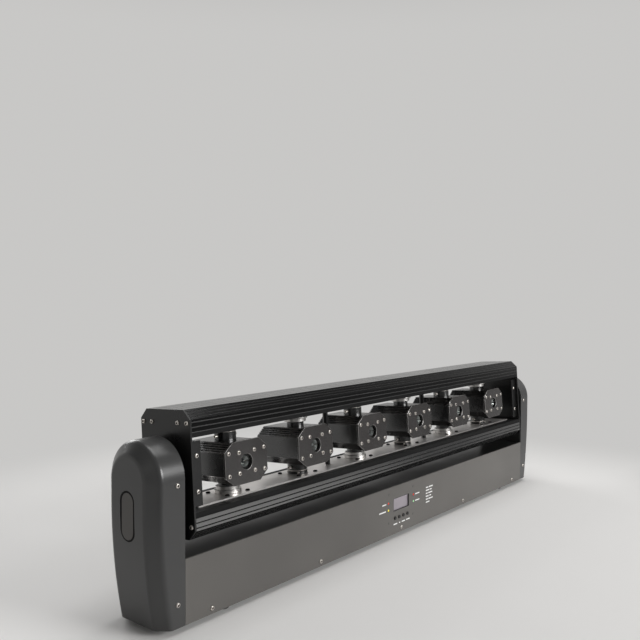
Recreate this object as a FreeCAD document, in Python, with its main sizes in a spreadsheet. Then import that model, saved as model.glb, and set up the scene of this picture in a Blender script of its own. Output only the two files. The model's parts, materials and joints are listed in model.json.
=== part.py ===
# Six-head moving laser bar.
# A long base box with a control panel stands on four feet. An arm under a moulded cover rises at each
# end, and a frame of two fluted rails tilts between the arms. Six octagonal laser heads hang in the
# frame, each panning on its own pivot, with the pan motors alternately below and above.
# Millimetres. X runs along the bar, -Y faces the audience, +Z is up, and the origin lies on the floor
# under the middle of the bar. The frame rests tilted back a little.
import FreeCAD, Part
import math
import os
import Sketcher

Vector = FreeCAD.Vector
Rotation = FreeCAD.Rotation
Placement = FreeCAD.Placement

HEADS = 6
SIDE_GROOVES = 3
CHAMFER_GROOVES = 3
FACE_GROOVES = 3
FIN_GROOVES = 4
BUTTONS = 4
PANEL_SCREWS = 5
SIDES = (("left", -1), ("right", 1))
SAME_PLACE = 0.01

# Driving dimensions, one row of the sheet each
SIZES = (
    ("foot_height", 7.0, "rubber foot below the base"),
    ("foot_radius", 9.0, "rubber foot at its top"),
    ("foot_taper", 1.5, "how much the foot narrows to the floor"),
    ("foot_inset_x", 74.0, "foot axis from the end of the panel"),
    ("foot_inset_y", 16.5, "foot axis from the side of the base"),
    ("panel_length", 900.0, "front panel between the end covers"),
    ("panel_height", 76.4, "front panel from its lower to its upper edge"),
    ("panel_thickness", 3.0, "front panel"),
    ("base_depth", 91.0, "base and covers, front to back"),
    ("sheet_wall", 2.0, "sheet metal of the base"),
    ("fit_gap", 0.3, "clearance between pieces that don't touch"),
    ("bore_gap", 0.1, "clearance of a piece seated in a bore of its own body"),
    ("top_step", 1.2, "top cover below the panel's upper edge"),
    ("clamp_hole_radius", 6.5, "hole for a clamp bracket under the base"),
    ("clamp_hole_spacing", 106.0, "two holes of one clamp bracket"),
    ("clamp_place", 225.0, "clamp bracket from the middle of the bar"),
    ("display_width", 45.0, "display window"),
    ("display_height", 20.6, "display window"),
    ("display_rise", 8.4, "middle of the display above the panel's middle"),
    ("display_recess", 2.0, "display glass behind the panel's face"),
    ("display_rim", 3.0, "display module beyond the window"),
    ("display_depth", 6.0, "display module behind the panel"),
    ("led_x", 36.5, "indicator from the middle of the display"),
    ("led_upper_rise", 5.4, "upper indicators above the display's middle"),
    ("led_lower_drop", 5.6, "lower indicators below the display's middle"),
    ("led_radius", 2.0, "indicator"),
    ("led_proud", 0.6, "indicator dome in front of the panel"),
    ("button_spacing", 12.0, "menu buttons, middle to middle"),
    ("button_drop", 21.6, "menu buttons below the display's middle"),
    ("button_radius", 2.6, "menu button"),
    ("button_proud", 1.6, "menu button in front of the panel"),
    ("button_travel", 0.8, "stroke of a menu button"),
    ("button_rim", 0.9, "collar that holds a button behind the panel"),
    ("switch_height", 4.0, "switch on the board behind a button"),
    ("switch_size", 6.0, "switch on the board, square"),
    ("board_width", 84.0, "control board"),
    ("board_low", 13.6, "control board's lower edge above the panel's lower edge"),
    ("board_thickness", 1.6, "control board"),
    ("board_gap", 8.0, "board behind the panel"),
    ("post_x", 35.0, "board post from the middle of the display"),
    ("post_inset", 6.9, "board posts from the board's upper and lower edges"),
    ("post_radius", 2.5, "board post"),
    ("supply_length", 199.0, "power supply"),
    ("supply_depth", 50.0, "power supply"),
    ("supply_height", 40.0, "power supply"),
    ("supply_x", -160.0, "left end of the power supply"),
    ("socket_spacing", 45.0, "rear sockets, middle to middle"),
    ("socket_end", 300.0, "first rear socket from the end of the panel"),
    ("socket_z", 38.0, "rear sockets above the base's lower edge"),
    ("socket_radius", 11.8, "barrel of a rear socket"),
    ("socket_bore", 9.6, "mouth of a rear socket"),
    ("socket_mouth_depth", 14.0, "mouth of a rear socket"),
    ("socket_barrel", 22.0, "barrel behind the rear wall"),
    ("socket_flange_width", 26.0, "flange of a rear socket"),
    ("socket_flange_height", 31.0, "flange of a rear socket"),
    ("socket_flange", 2.0, "flange of a rear socket, thickness"),
    ("fuse_radius", 6.2, "fuse holder barrel"),
    ("fuse_cap_radius", 7.6, "fuse holder cap"),
    ("fuse_cap", 3.2, "fuse holder cap behind the wall"),
    ("fuse_barrel", 24.0, "fuse holder barrel inside"),
    ("cover_width", 46.0, "end cover along the bar"),
    ("cover_wall", 3.0, "wall of an end cover"),
    ("cover_tuck", 14.0, "how far the outer face draws in at the bottom"),
    ("cover_curve_height", 140.0, "height below which the outer face curves in"),
    ("cover_bevel_depth", 15.8, "bevel round the outer face, across"),
    ("cover_bevel_width", 12.0, "bevel round the outer face, along the bar"),
    ("cover_edge", 8.0, "rounding of the bevel's two edges"),
    ("recess_width", 26.0, "stadium recess in the outer face"),
    ("recess_height", 59.0, "stadium recess in the outer face"),
    ("recess_z", 127.5, "middle of the recess"),
    ("recess_depth", 1.2, "recess"),
    ("cover_screw_x", 11.0, "cover screw from the seam"),
    ("cover_screw_upper_z", 163.0, "upper cover screw"),
    ("cover_screw_lower_z", 27.0, "lower cover screw"),
    ("arm_thickness", 2.5, "plate of a side arm"),
    ("arm_flange", 13.0, "bent edge of a side arm"),
    ("swing_gap", 7.9, "room between the swinging frame and the base"),
    ("rest_tilt", 4.0, "degrees that the frame leans back at rest"),
    ("frame_gap", 11.5, "end of the frame to the cover"),
    ("frame_depth", 90.0, "rails and end plates, front to back"),
    ("frame_chamfer", 11.3, "corners of rails and end plates"),
    ("rail_height", 32.2, "one rail"),
    ("rail_wall", 2.5, "wall of the rail's hollow section"),
    ("groove_width", 1.3, "groove along a rail"),
    ("groove_depth", 0.9, "groove along a rail"),
    ("side_groove_pitch", 5.9, "grooves on a rail's upright face"),
    ("chamfer_groove_pitch", 4.2, "grooves on a rail's chamfer"),
    ("face_groove_pitch", 17.0, "grooves on a rail's flat"),
    ("end_plate_thickness", 2.5, "end plate of the frame"),
    ("plate_screw_z", 15.5, "end plate screws from the edge of the plate"),
    ("plate_screw_inner", 23.5, "inner end plate screws from the middle"),
    ("plate_screw_outer", 5.5, "outer end plate screws from the side"),
    ("hub_thickness", 2.0, "sheet of a hub bracket"),
    ("hub_flange", 14.0, "bent edge of a hub bracket"),
    ("hub_setback", 5.0, "hub bracket behind the frame's front"),
    ("hub_end_gap", 5.3, "hub bracket to the rails"),
    ("hub_screw_z", 21.0, "hub bracket screws from the tilt axis"),
    ("shaft_radius", 10.0, "tilt shaft"),
    ("shaft_bore", 6.0, "cable way through a tilt shaft"),
    ("shaft_flange_radius", 22.0, "flange of a tilt shaft"),
    ("shaft_flange", 4.0, "flange of a tilt shaft, thickness"),
    ("bearing_wall", 6.0, "tilt bearing between shaft and seat"),
    ("bearing_width", 7.0, "tilt bearing"),
    ("seat_wall", 4.0, "seat of a tilt bearing"),
    ("tilt_pulley_radius", 30.0, "pulley on the tilt shaft"),
    ("motor_pulley_radius", 10.0, "pulley on the tilt motor"),
    ("pulley_rim", 2.0, "rims of both pulleys above the belt's seat"),
    ("rim_width", 1.5, "rims of both pulleys"),
    ("pulley_place", 13.0, "belt's near edge from the seam"),
    ("belt_width", 9.0, "tilt belt"),
    ("belt_thickness", 1.6, "tilt belt"),
    ("motor_z", 38.0, "tilt motor above the base's lower edge"),
    ("motor_size", 42.0, "tilt motor, square"),
    ("motor_length", 46.0, "tilt motor"),
    ("motor_chamfer", 5.0, "corners of the tilt motor"),
    ("motor_pilot", 11.0, "boss round the tilt motor's shaft, radius"),
    ("motor_shaft", 2.5, "tilt motor's shaft, radius"),
    ("motor_shaft_depth", 30.0, "tilt motor's shaft inside the motor"),
    ("head_end_distance", 96.25, "first head's axis from the end of the frame"),
    ("head_width", 74.2, "front plate of a head"),
    ("head_height", 54.2, "front plate of a head"),
    ("head_chamfer_x", 14.0, "corner of the front plate, across"),
    ("head_chamfer_z", 11.4, "corner of the front plate, up"),
    ("head_front", 37.3, "face of the front plate from the pan axis"),
    ("head_back", 41.7, "back of the head from the pan axis"),
    ("head_plate", 3.0, "front plate of a head, thickness"),
    ("head_inset", 1.5, "housing inside the front plate's outline"),
    ("fin_width", 1.5, "groove between fins"),
    ("fin_depth", 1.8, "groove between fins"),
    ("fin_pitch", 3.6, "fins on a head's chamfer"),
    ("aperture_radius", 10.0, "opening for the beam"),
    ("window_radius", 12.0, "glass window"),
    ("window_thickness", 2.0, "glass window"),
    ("laser_radius", 8.0, "laser module's barrel"),
    ("laser_length", 42.0, "laser module's barrel"),
    ("laser_nose", 7.0, "laser module's lens holder, radius"),
    ("laser_nose_length", 6.0, "laser module's lens holder"),
    ("tray_width", 56.0, "aluminium tray on a rail"),
    ("tray_thickness", 2.0, "aluminium tray on a rail"),
    ("tray_end_gap", 22.0, "tray to the end of the frame"),
    ("tray_hole_radius", 2.6, "hole in a tray"),
    ("tray_hole_ring", 25.3, "holes round a pan axis"),
    ("tray_post_flats", 7.0, "hexagonal post between the trays, across flats"),
    ("pan_flange_radius", 17.6, "pan motor's flange"),
    ("pan_flange", 4.8, "pan motor's flange, height"),
    ("pan_neck_radius", 15.4, "pan motor's upper tier"),
    ("pan_neck", 4.5, "pan motor's upper tier, height"),
    ("pan_body_radius", 15.0, "pan motor inside the rail"),
    ("pan_body_room", 3.0, "pan motor to the rail's far wall"),
    ("pan_shaft", 2.5, "pan motor's shaft, radius"),
    ("pan_shaft_depth", 9.0, "pan motor's shaft inside the head"),
    ("hub_gap", 1.0, "running gap between a pan motor and its head"),
    ("drive_hub_radius", 12.0, "hub on the driven side of a head"),
    ("drive_hub_height", 5.4, "hub on the driven side of a head"),
    ("idle_hub_radius", 14.0, "hub on the free side of a head"),
    ("pin_radius", 4.0, "pivot pin on the free side of a head"),
    ("pin_length", 8.0, "pivot pin past the tray's face"),
    ("pan_bearing_radius", 11.0, "pan bearing"),
    ("pan_bearing_length", 6.0, "pan bearing past the tray's face"),
    ("pan_bearing_block", 4.0, "pan bearing in front of the tray's face"),
    ("screw_radius", 1.5, "machine screw"),
    ("screw_head_radius", 2.8, "button head of a machine screw"),
    ("screw_head", 1.7, "button head of a machine screw, height"),
    ("screw_hole_gap", 0.2, "hole round a screw"),
    ("screw_reach", 2.0, "screw past the sheets that it holds"),
    ("panel_screw_inset_x", 41.0, "end panel screws from the end of the panel"),
    ("panel_screw_z", 7.0, "panel screws above the panel's lower edge"),
)


class Size:
    """A dimension: an expression on the sheet together with its present value."""

    def __init__(self, value, text):
        self.value = value
        self.text = text

    def __add__(self, other):
        other = as_size(other)
        return Size(self.value + other.value, f"({self.text} + {other.text})")

    def __sub__(self, other):
        other = as_size(other)
        return Size(self.value - other.value, f"({self.text} - {other.text})")

    def __mul__(self, other):
        other = as_size(other)
        return Size(self.value * other.value, f"({self.text} * {other.text})")

    def __truediv__(self, other):
        other = as_size(other)
        return Size(self.value / other.value, f"({self.text} / {other.text})")

    def __neg__(self):
        return Size(-self.value, f"(-1 * {self.text})")

    __radd__ = __add__
    __rmul__ = __mul__


def as_size(number):
    if isinstance(number, Size):
        return number
    return Size(float(number), f"({float(number)})")


def root(size):
    return Size(math.sqrt(size.value), f"sqrt({size.text})")


doc = FreeCAD.newDocument("laser_bar")
sheet = doc.addObject("Spreadsheet::Sheet", "Sizes")
for row, (alias, value, meaning) in enumerate(SIZES, start=1):
    sheet.set(f"A{row}", meaning)
    sheet.set(f"B{row}", str(value))
    sheet.setAlias(f"B{row}", alias)
doc.recompute()
S = {alias: Size(float(sheet.get(alias)), f"Sizes.{alias}") for alias, value, meaning in SIZES}
ZERO = as_size(0)

# Places and lengths that follow from the driving dimensions
half_panel = S["panel_length"] / 2
half_depth = S["base_depth"] / 2
top_level = S["panel_height"] - S["top_step"]
display_z = S["panel_height"] / 2 + S["display_rise"]
led_levels = (display_z + S["led_upper_rise"], display_z - S["led_lower_drop"])
button_z = display_z - S["button_drop"]
board_top = top_level - S["sheet_wall"] - S["fit_gap"]
post_levels = (board_top - S["post_inset"], S["board_low"] + S["post_inset"])
half_frame = half_panel - S["frame_gap"]
half_rail = half_frame - S["end_plate_thickness"]
half_frame_depth = S["frame_depth"] / 2
pivot_room = (S["tray_thickness"] + S["pan_flange"] + S["pan_neck"] + S["hub_gap"]
              + S["drive_hub_height"] - S["head_inset"])
half_opening = S["head_height"] / 2 + pivot_room
half_frame_height = half_opening + S["rail_height"]
swing_y = half_frame_depth - S["frame_chamfer"]
swing_radius = root(half_frame_height * half_frame_height + swing_y * swing_y)
pivot_height = S["panel_height"] + swing_radius + S["swing_gap"]
head_pitch = (half_frame - S["head_end_distance"]) * 2 / (HEADS - 1)
tray_level = half_opening - S["tray_thickness"]
half_housing_width = S["head_width"] / 2 - S["head_inset"]
half_housing_height = S["head_height"] / 2 - S["head_inset"]
housing_front = S["head_front"] - S["head_plate"]
bearing_radius = S["shaft_radius"] + S["bearing_wall"]
screw_hole = S["screw_radius"] + S["screw_hole_gap"]

BASE = Placement(Vector(0, 0, S["foot_height"].value), Rotation())
FRAME = Placement(
    Vector(0, 0, (S["foot_height"] + pivot_height).value),
    Rotation(Vector(1, 0, 0), -S["rest_tilt"].value),
)

parts = {}


def keep(item, label, placement):
    """Give a finished sub-part its name and its place in the assembly."""
    item.Label = label
    item.Placement = placement
    parts[label] = item


def bind(item, name, size):
    size = as_size(size)
    setattr(item, name, size.value)
    item.setExpression(name, size.text)


def point(x, y, z):
    return Vector(as_size(x).value, as_size(y).value, as_size(z).value)


def head_place(index):
    return (head_pitch * (index - (HEADS - 1) / 2)).value


def motor_side(index):
    """Pan motors stand below the first head, above the second, and so on in turn."""
    return -1 if index % 2 == 0 else 1


# Sketches and features
def new_body(name):
    return doc.addObject("PartDesign::Body", name)


def new_sketch(body, role, level=None):
    """A sketch on one of the body's origin planes, moved along the plane's normal by level."""
    sketch = body.newObject("Sketcher::SketchObject", "Sketch")
    plane = [item for item in body.Origin.OriginFeatures if item.Role == role][0]
    sketch.AttachmentSupport = [(plane, "")]
    sketch.MapMode = "FlatFace"
    if level is not None:
        sketch.AttachmentOffset = Placement(Vector(0, 0, level.value), Rotation())
        sketch.setExpression("AttachmentOffset.Base.z", level.text)
    return sketch


def constrain(sketch, rules):
    """Add (constraint, size) pairs and bind each to its expression."""
    indexes = sketch.addConstraint([rule for rule, size in rules])
    for index, (rule, size) in zip(indexes, rules):
        sketch.setExpression(f"Constraints[{index}]", size.text)


def fixed(geometry, vertex, x, y):
    """Tie one vertex to the sketch's origin."""
    return [
        (Sketcher.Constraint("DistanceX", -1, 1, geometry, vertex, x.value), x),
        (Sketcher.Constraint("DistanceY", -1, 1, geometry, vertex, y.value), y),
    ]


def outline(sketch, corners, arcs=None):
    """A closed outline. arcs maps a corner's index to the centre of the arc that leaves it."""
    arcs = arcs or {}
    first = sketch.GeometryCount
    count = len(corners)
    corners = [(as_size(x), as_size(y)) for x, y in corners]
    spots = [Vector(x.value, y.value, 0) for x, y in corners]
    geometry = []
    rules = []
    for index in range(count):
        start, end = spots[index], spots[(index + 1) % count]
        if index not in arcs:
            geometry.append(Part.LineSegment(start, end))
            continue
        x, y = (as_size(item) for item in arcs[index])
        centre = Vector(x.value, y.value, 0)
        angles = [math.atan2(spot.y - centre.y, spot.x - centre.x) for spot in (start, end)]
        full_circle = Part.Circle(centre, Vector(0, 0, 1), (start - centre).Length)
        geometry.append(Part.ArcOfCircle(full_circle, *angles))
        chord = end - start
        across, up = fixed(first + index, 3, x, y)
        rules.append(up if abs(chord.x) > abs(chord.y) else across)
    sketch.addGeometry(geometry, False)
    sketch.addConstraint([
        Sketcher.Constraint("Coincident", first + index, 2, first + (index + 1) % count, 1)
        for index in range(count)
    ])
    for index, (x, y) in enumerate(corners):
        rules += fixed(first + index, 1, x, y)
    constrain(sketch, rules)


def circle(sketch, x, y, radius):
    x, y = as_size(x), as_size(y)
    geometry = sketch.addGeometry(Part.Circle(Vector(x.value, y.value, 0), Vector(0, 0, 1), radius.value), False)
    rules = fixed(geometry, 3, x, y)
    rules.append((Sketcher.Constraint("Radius", geometry, radius.value), radius))
    constrain(sketch, rules)


def rectangle(x0, y0, x1, y1):
    return [(x0, y0), (x1, y0), (x1, y1), (x0, y1)]


def octagon(half_x, half_y, cut_x, cut_y):
    """Eight corners, anticlockwise from the right side's lower one."""
    return [
        (half_x, cut_y - half_y), (half_x, half_y - cut_y),
        (half_x - cut_x, half_y), (cut_x - half_x, half_y),
        (-half_x, half_y - cut_y), (-half_x, cut_y - half_y),
        (cut_x - half_x, -half_y), (half_x - cut_x, -half_y),
    ]


def groove_row(body, role, level, start, end, count, pitch, width, depth, middle=None):
    """Sketch of square grooves across the face from start to end; its X axis runs along that face."""
    way_x, way_y = end[0] - start[0], end[1] - start[1]
    if middle is None:
        middle = root(way_x * way_x + way_y * way_y) / 2
    sketch = new_sketch(body, role, level)
    angle = math.degrees(math.atan2(way_y.value, way_x.value))
    sketch.AttachmentOffset = Placement(point(start[0], start[1], level), Rotation(Vector(0, 0, 1), angle))
    sketch.setExpression("AttachmentOffset.Base.x", start[0].text)
    sketch.setExpression("AttachmentOffset.Base.y", start[1].text)
    sketch.setExpression("AttachmentOffset.Rotation.Angle", f"atan2({way_y.text}; {way_x.text})")
    for index in range(count):
        near = middle + pitch * (index - (count - 1) / 2) - width / 2
        outline(sketch, rectangle(near, -depth, near + width, depth))
    return sketch


def extrude(body, kind, sketch, length, backwards=False, symmetric=False):
    """A Pad or Pocket of the sketch; with no length it goes through everything."""
    feature = body.newObject(f"PartDesign::{kind}", kind)
    feature.Profile = sketch
    feature.Reversed = backwards
    if symmetric:
        feature.SideType = "Symmetric"
    if length is None:
        feature.Type = "ThroughAll"
    else:
        bind(feature, "Length", length)
    return feature


def revolve(body, sketch, axis):
    feature = body.newObject("PartDesign::Revolution", "Revolution")
    feature.Profile = sketch
    feature.ReferenceAxis = (sketch, [axis])
    feature.Angle = 360
    return feature


def group(label, shapes, placement):
    """Several equal solids that share one node."""
    item = doc.addObject("Part::Feature", label)
    item.Shape = Part.makeCompound(shapes)
    keep(item, label, placement)


def turned(profile):
    """A solid of revolution about X from (x, radius) corners."""
    corners = [point(x, 0, radius) for x, radius in profile]
    face = Part.Face(Part.makePolygon(corners + corners[:1]))
    return face.revolve(Vector(0, 0, 0), Vector(1, 0, 0), 360)


def moved(shape, x, y, z, rotation=Rotation()):
    result = shape.copy()
    result.Placement = Placement(point(x, y, z), rotation)
    return result


def screw(grip):
    """A button-head screw along -X: the head stands on the plane X = 0."""
    dome = S["screw_head"] * 0.45
    return turned([
        (-grip, 0), (-grip, S["screw_radius"]), (0, S["screw_radius"]), (0, S["screw_head_radius"]),
        (dome, S["screw_head_radius"]), (S["screw_head"], S["screw_head_radius"] * 0.55), (S["screw_head"], 0),
    ])


# Base
def base_chassis():
    """Open tray of folded sheet: floor, rear wall and end walls, with the rear cut-outs."""
    wall = S["sheet_wall"]
    body = new_body("chassis")
    block = new_sketch(body, "YZ_Plane")
    front = S["panel_thickness"] - half_depth
    outline(block, rectangle(front, ZERO, half_depth, top_level - wall))
    extrude(body, "Pad", block, S["panel_length"], symmetric=True)
    room = new_sketch(body, "XZ_Plane", wall - half_depth)
    outline(room, rectangle(wall - half_panel, wall, half_panel - wall, S["panel_height"]))
    extrude(body, "Pocket", room, None, backwards=True)
    rear = new_sketch(body, "XZ_Plane")
    for index in range(4):
        circle(rear, socket_place(index), S["socket_z"], S["socket_radius"] + S["bore_gap"])
    circle(rear, socket_place(4), S["socket_z"], S["fuse_radius"] + S["bore_gap"])
    extrude(body, "Pocket", rear, None)
    ends = new_sketch(body, "YZ_Plane")
    circle(ends, ZERO, S["motor_z"], S["motor_pilot"] + S["bore_gap"])
    extrude(body, "Pocket", ends, None, symmetric=True)
    floor = new_sketch(body, "XY_Plane")
    for side in (-1, 1):
        for end in (-1, 1):
            circle(floor, S["clamp_place"] * side + S["clamp_hole_spacing"] / 2 * end, ZERO,
                   S["clamp_hole_radius"])
    extrude(body, "Pocket", floor, wall, backwards=True)
    keep(body, "base_chassis", BASE)


def socket_place(index):
    return half_panel - S["socket_end"] + S["socket_spacing"] * index


def panel_screw_place(index):
    span = half_panel - S["panel_screw_inset_x"]
    return span * (2 * index / (PANEL_SCREWS - 1) - 1)


def button_place(index):
    return S["button_spacing"] * (index - (BUTTONS - 1) / 2)


def led_places():
    return [(S["led_x"] * side, level) for side in (-1, 1) for level in led_levels]


def front_panel():
    body = new_body("panel")
    face = new_sketch(body, "XZ_Plane", half_depth)
    edge = half_panel - S["fit_gap"]
    outline(face, rectangle(-edge, ZERO, edge, S["panel_height"]))
    half_width, half_height = S["display_width"] / 2, S["display_height"] / 2
    outline(face, rectangle(-half_width, display_z - half_height, half_width, display_z + half_height))
    for x, z in led_places():
        circle(face, x, z, S["led_radius"] + S["bore_gap"])
    for index in range(BUTTONS):
        circle(face, button_place(index), button_z, S["button_radius"] + S["fit_gap"])
    for index in range(PANEL_SCREWS):
        circle(face, panel_screw_place(index), S["panel_screw_z"], screw_hole)
    extrude(body, "Pad", face, S["panel_thickness"], backwards=True)
    keep(body, "front_panel", BASE)


def top_cover():
    front = S["panel_thickness"] - half_depth + S["fit_gap"]
    plate = doc.addObject("Part::Box", "top_plate")
    bind(plate, "Length", (half_panel - S["fit_gap"]) * 2)
    bind(plate, "Width", half_depth - front)
    bind(plate, "Height", S["sheet_wall"])
    corner = point(S["fit_gap"] - half_panel, front, top_level - S["sheet_wall"])
    keep(plate, "top_cover", BASE.multiply(Placement(corner, Rotation())))


def rubber_feet():
    foot = Part.makeCone(
        (S["foot_radius"] - S["foot_taper"]).value, S["foot_radius"].value, S["foot_height"].value)
    x, y = half_panel - S["foot_inset_x"], half_depth - S["foot_inset_y"]
    feet = [moved(foot, x * right, y * back, 0) for right in (-1, 1) for back in (-1, 1)]
    group("rubber_feet", feet, Placement())


def case_screws():
    """Panel screws along the front's lower edge, and cover screws in the front and rear bands."""
    forward = Rotation(Vector(0, 0, 1), -90)
    rearward = Rotation(Vector(0, 0, 1), 90)
    panel_screw = screw(S["panel_thickness"] + S["screw_reach"])
    cover_screw = screw(S["cover_wall"] + S["fit_gap"] + S["sheet_wall"] + S["screw_reach"])
    screws = [
        moved(panel_screw, panel_screw_place(index), -half_depth, S["panel_screw_z"], forward)
        for index in range(PANEL_SCREWS)
    ]
    for name, side in SIDES:
        for level in (S["cover_screw_upper_z"], S["cover_screw_lower_z"]):
            x = (half_panel + S["cover_screw_x"]) * side
            screws.append(moved(cover_screw, x, -half_depth, level, forward))
            screws.append(moved(cover_screw, x, half_depth, level, rearward))
    group("case_screws", screws, BASE)


# Controls
def display_screen():
    """Display module: a glass that fills the window on a wider module behind the panel."""
    body = new_body("display")
    half_width, half_height = S["display_width"] / 2, S["display_height"] / 2
    gap, rim = S["fit_gap"], S["display_rim"]
    glass = new_sketch(body, "XZ_Plane", half_depth - S["display_recess"])
    outline(glass, rectangle(
        gap - half_width, display_z - half_height + gap, half_width - gap, display_z + half_height - gap))
    extrude(body, "Pad", glass, S["panel_thickness"] - S["display_recess"] + S["display_depth"], backwards=True)
    module = new_sketch(body, "XZ_Plane", half_depth - S["panel_thickness"])
    outline(module, rectangle(
        -half_width - rim, display_z - half_height - rim, half_width + rim, display_z + half_height + rim))
    extrude(body, "Pad", module, S["display_depth"], backwards=True)
    keep(body, "display_screen", BASE)


def control_board():
    """Board on four posts behind the panel, with a switch behind each button."""
    body = new_body("board")
    panel_back = half_depth - S["panel_thickness"]
    board_front = panel_back - S["board_gap"]
    board = new_sketch(body, "XZ_Plane", board_front)
    half_width = S["board_width"] / 2
    outline(board, rectangle(-half_width, S["board_low"], half_width, board_top))
    extrude(body, "Pad", board, S["board_thickness"], backwards=True)
    posts = new_sketch(body, "XZ_Plane", board_front)
    for side in (-1, 1):
        for level in post_levels:
            circle(posts, S["post_x"] * side, level, S["post_radius"])
    extrude(body, "Pad", posts, S["board_gap"])
    switches = new_sketch(body, "XZ_Plane", board_front)
    half_switch = S["switch_size"] / 2
    for index in range(BUTTONS):
        x = button_place(index)
        outline(switches, rectangle(
            x - half_switch, button_z - half_switch, x + half_switch, button_z + half_switch))
    extrude(body, "Pad", switches, S["switch_height"])
    keep(body, "control_board", BASE)


def indicator_leds():
    """Four domed indicators that reach from the board through the panel."""
    radius = S["led_radius"]
    reach = S["panel_thickness"] + S["board_gap"] + S["led_proud"] - radius
    barrel = Part.makeCylinder(radius.value, reach.value)
    dome = Part.makeSphere(radius.value)
    led = barrel.fuse(dome).removeSplitter()
    upright = Rotation(Vector(1, 0, 0), -90)
    front = half_depth + S["led_proud"] - radius
    leds = [moved(led, x, -front, z, upright) for x, z in led_places()]
    group("indicator_leds", leds, BASE)


def menu_buttons():
    """Round caps with a collar behind the panel; each slides inward on its switch."""
    for index in range(BUTTONS):
        body = new_body(f"button_{index + 1}")
        profile = new_sketch(body, "XY_Plane")
        radius = S["button_radius"]
        front = -half_depth - S["button_proud"]
        back = S["panel_thickness"] - half_depth + S["fit_gap"]
        collar = radius + S["button_rim"]
        tail = half_depth - S["panel_thickness"] - S["board_gap"] + S["switch_height"]
        tail_end = -tail - S["button_travel"] - S["fit_gap"]
        outline(profile, [
            (ZERO, front), (radius, front), (radius, back), (collar, back), (collar, tail_end), (ZERO, tail_end)])
        revolve(body, profile, "V_Axis")
        middle = point(button_place(index), 0, button_z)
        keep(body, f"menu_button_{index + 1}", BASE.multiply(Placement(middle, Rotation())))


# Inside the base and on its rear wall
def power_supply():
    box = doc.addObject("Part::Box", "supply_case")
    bind(box, "Length", S["supply_length"])
    bind(box, "Width", S["supply_depth"])
    bind(box, "Height", S["supply_height"])
    corner = point(S["supply_x"], -S["supply_depth"] / 2, S["sheet_wall"])
    keep(box, "power_supply", BASE.multiply(Placement(corner, Rotation())))


def rear_socket(pins):
    """A flanged socket facing +Y: the flange lies on the plane Y = 0, the barrel goes inside."""
    flange_back = S["socket_flange"]
    width, height = S["socket_flange_width"], S["socket_flange_height"]
    flange = Part.makeBox(width.value, flange_back.value, height.value, point(-width / 2, 0, -height / 2))
    inward = Vector(0, -1, 0)
    barrel = Part.makeCylinder(S["socket_radius"].value, S["socket_barrel"].value, Vector(0, 0, 0), inward)
    mouth = Part.makeCylinder(
        S["socket_bore"].value, S["socket_mouth_depth"].value, point(0, flange_back, 0), inward)
    socket = flange.fuse(barrel).cut(mouth)
    pin_floor = flange_back - S["socket_mouth_depth"]
    ring = S["socket_bore"] * 0.55
    for index in range(pins):
        angle = math.radians(90 + 360 * index / pins)
        spot = point(ring * math.cos(angle), pin_floor, ring * math.sin(angle))
        length = S["socket_mouth_depth"] * 0.6
        socket = socket.fuse(Part.makeCylinder(ring.value * 0.2, length.value, spot, Vector(0, 1, 0)))
    return socket.removeSplitter()


def rear_sockets(label, first, pins):
    pair = [moved(rear_socket(pins), socket_place(first + index), half_depth, S["socket_z"]) for index in (0, 1)]
    group(label, pair, BASE)


def fuse_holder():
    body = new_body("fuse")
    profile = new_sketch(body, "XY_Plane")
    rim = S["fuse_cap"] * 0.3
    outline(profile, [
        (ZERO, -S["fuse_barrel"]), (S["fuse_radius"], -S["fuse_barrel"]), (S["fuse_radius"], ZERO),
        (S["fuse_cap_radius"], ZERO), (S["fuse_cap_radius"], S["fuse_cap"] - rim),
        (S["fuse_cap_radius"] - rim, S["fuse_cap"]), (ZERO, S["fuse_cap"]),
    ])
    revolve(body, profile, "V_Axis")
    middle = point(socket_place(4), half_depth, S["socket_z"])
    keep(body, "fuse_holder", BASE.multiply(Placement(middle, Rotation())))


# End covers and arms
def arch(sketch, half_width, bottom):
    """The arms' outline: upright sides under a half circle about the tilt axis."""
    outline(sketch, [
        (-half_width, bottom), (half_width, bottom), (half_width, pivot_height), (-half_width, pivot_height),
    ], arcs={2: (ZERO, pivot_height)})


def cover_form(name, side, inset):
    """The cover's moulded form, or its hollow when inset: an arch in side view whose outer face
    draws in towards the bottom and has a broad bevel all round."""
    body = new_body(name)
    seam = half_panel * side
    outer = half_panel + S["cover_width"] - inset
    block = new_sketch(body, "YZ_Plane", seam)
    arch(block, half_depth - inset, inset)
    extrude(body, "Pad", block, S["cover_width"] - inset, backwards=side < 0)
    extrude(body, "Pocket", outer_curve(body, side, outer, ZERO), None, symmetric=True)
    width, depth = S["cover_bevel_width"], S["cover_bevel_depth"]
    face_edge = half_depth - inset - depth
    for front in (-1, 1):
        bevel = extrude(
            body, "Pocket", outer_curve(body, side, outer, face_edge * -front), root(width * width + depth * depth))
        bevel.UseCustomVector = True
        bevel.Direction = point(-width * side, depth * front, 0)
    corner = new_sketch(body, "XZ_Plane")
    corner.AttachmentOffset = Placement(point(0, pivot_height, 0), Rotation())
    corner.setExpression("AttachmentOffset.Base.y", pivot_height.text)
    rim = half_depth - inset
    outline(corner, [((outer - width) * side, rim), (outer * side, rim - depth), (outer * side, rim)])
    groove = body.newObject("PartDesign::Groove", "Groove")
    groove.Profile = corner
    groove.ReferenceAxis = (corner, ["H_Axis"])
    groove.Angle = 180
    groove.Midplane = True
    return body


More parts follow.
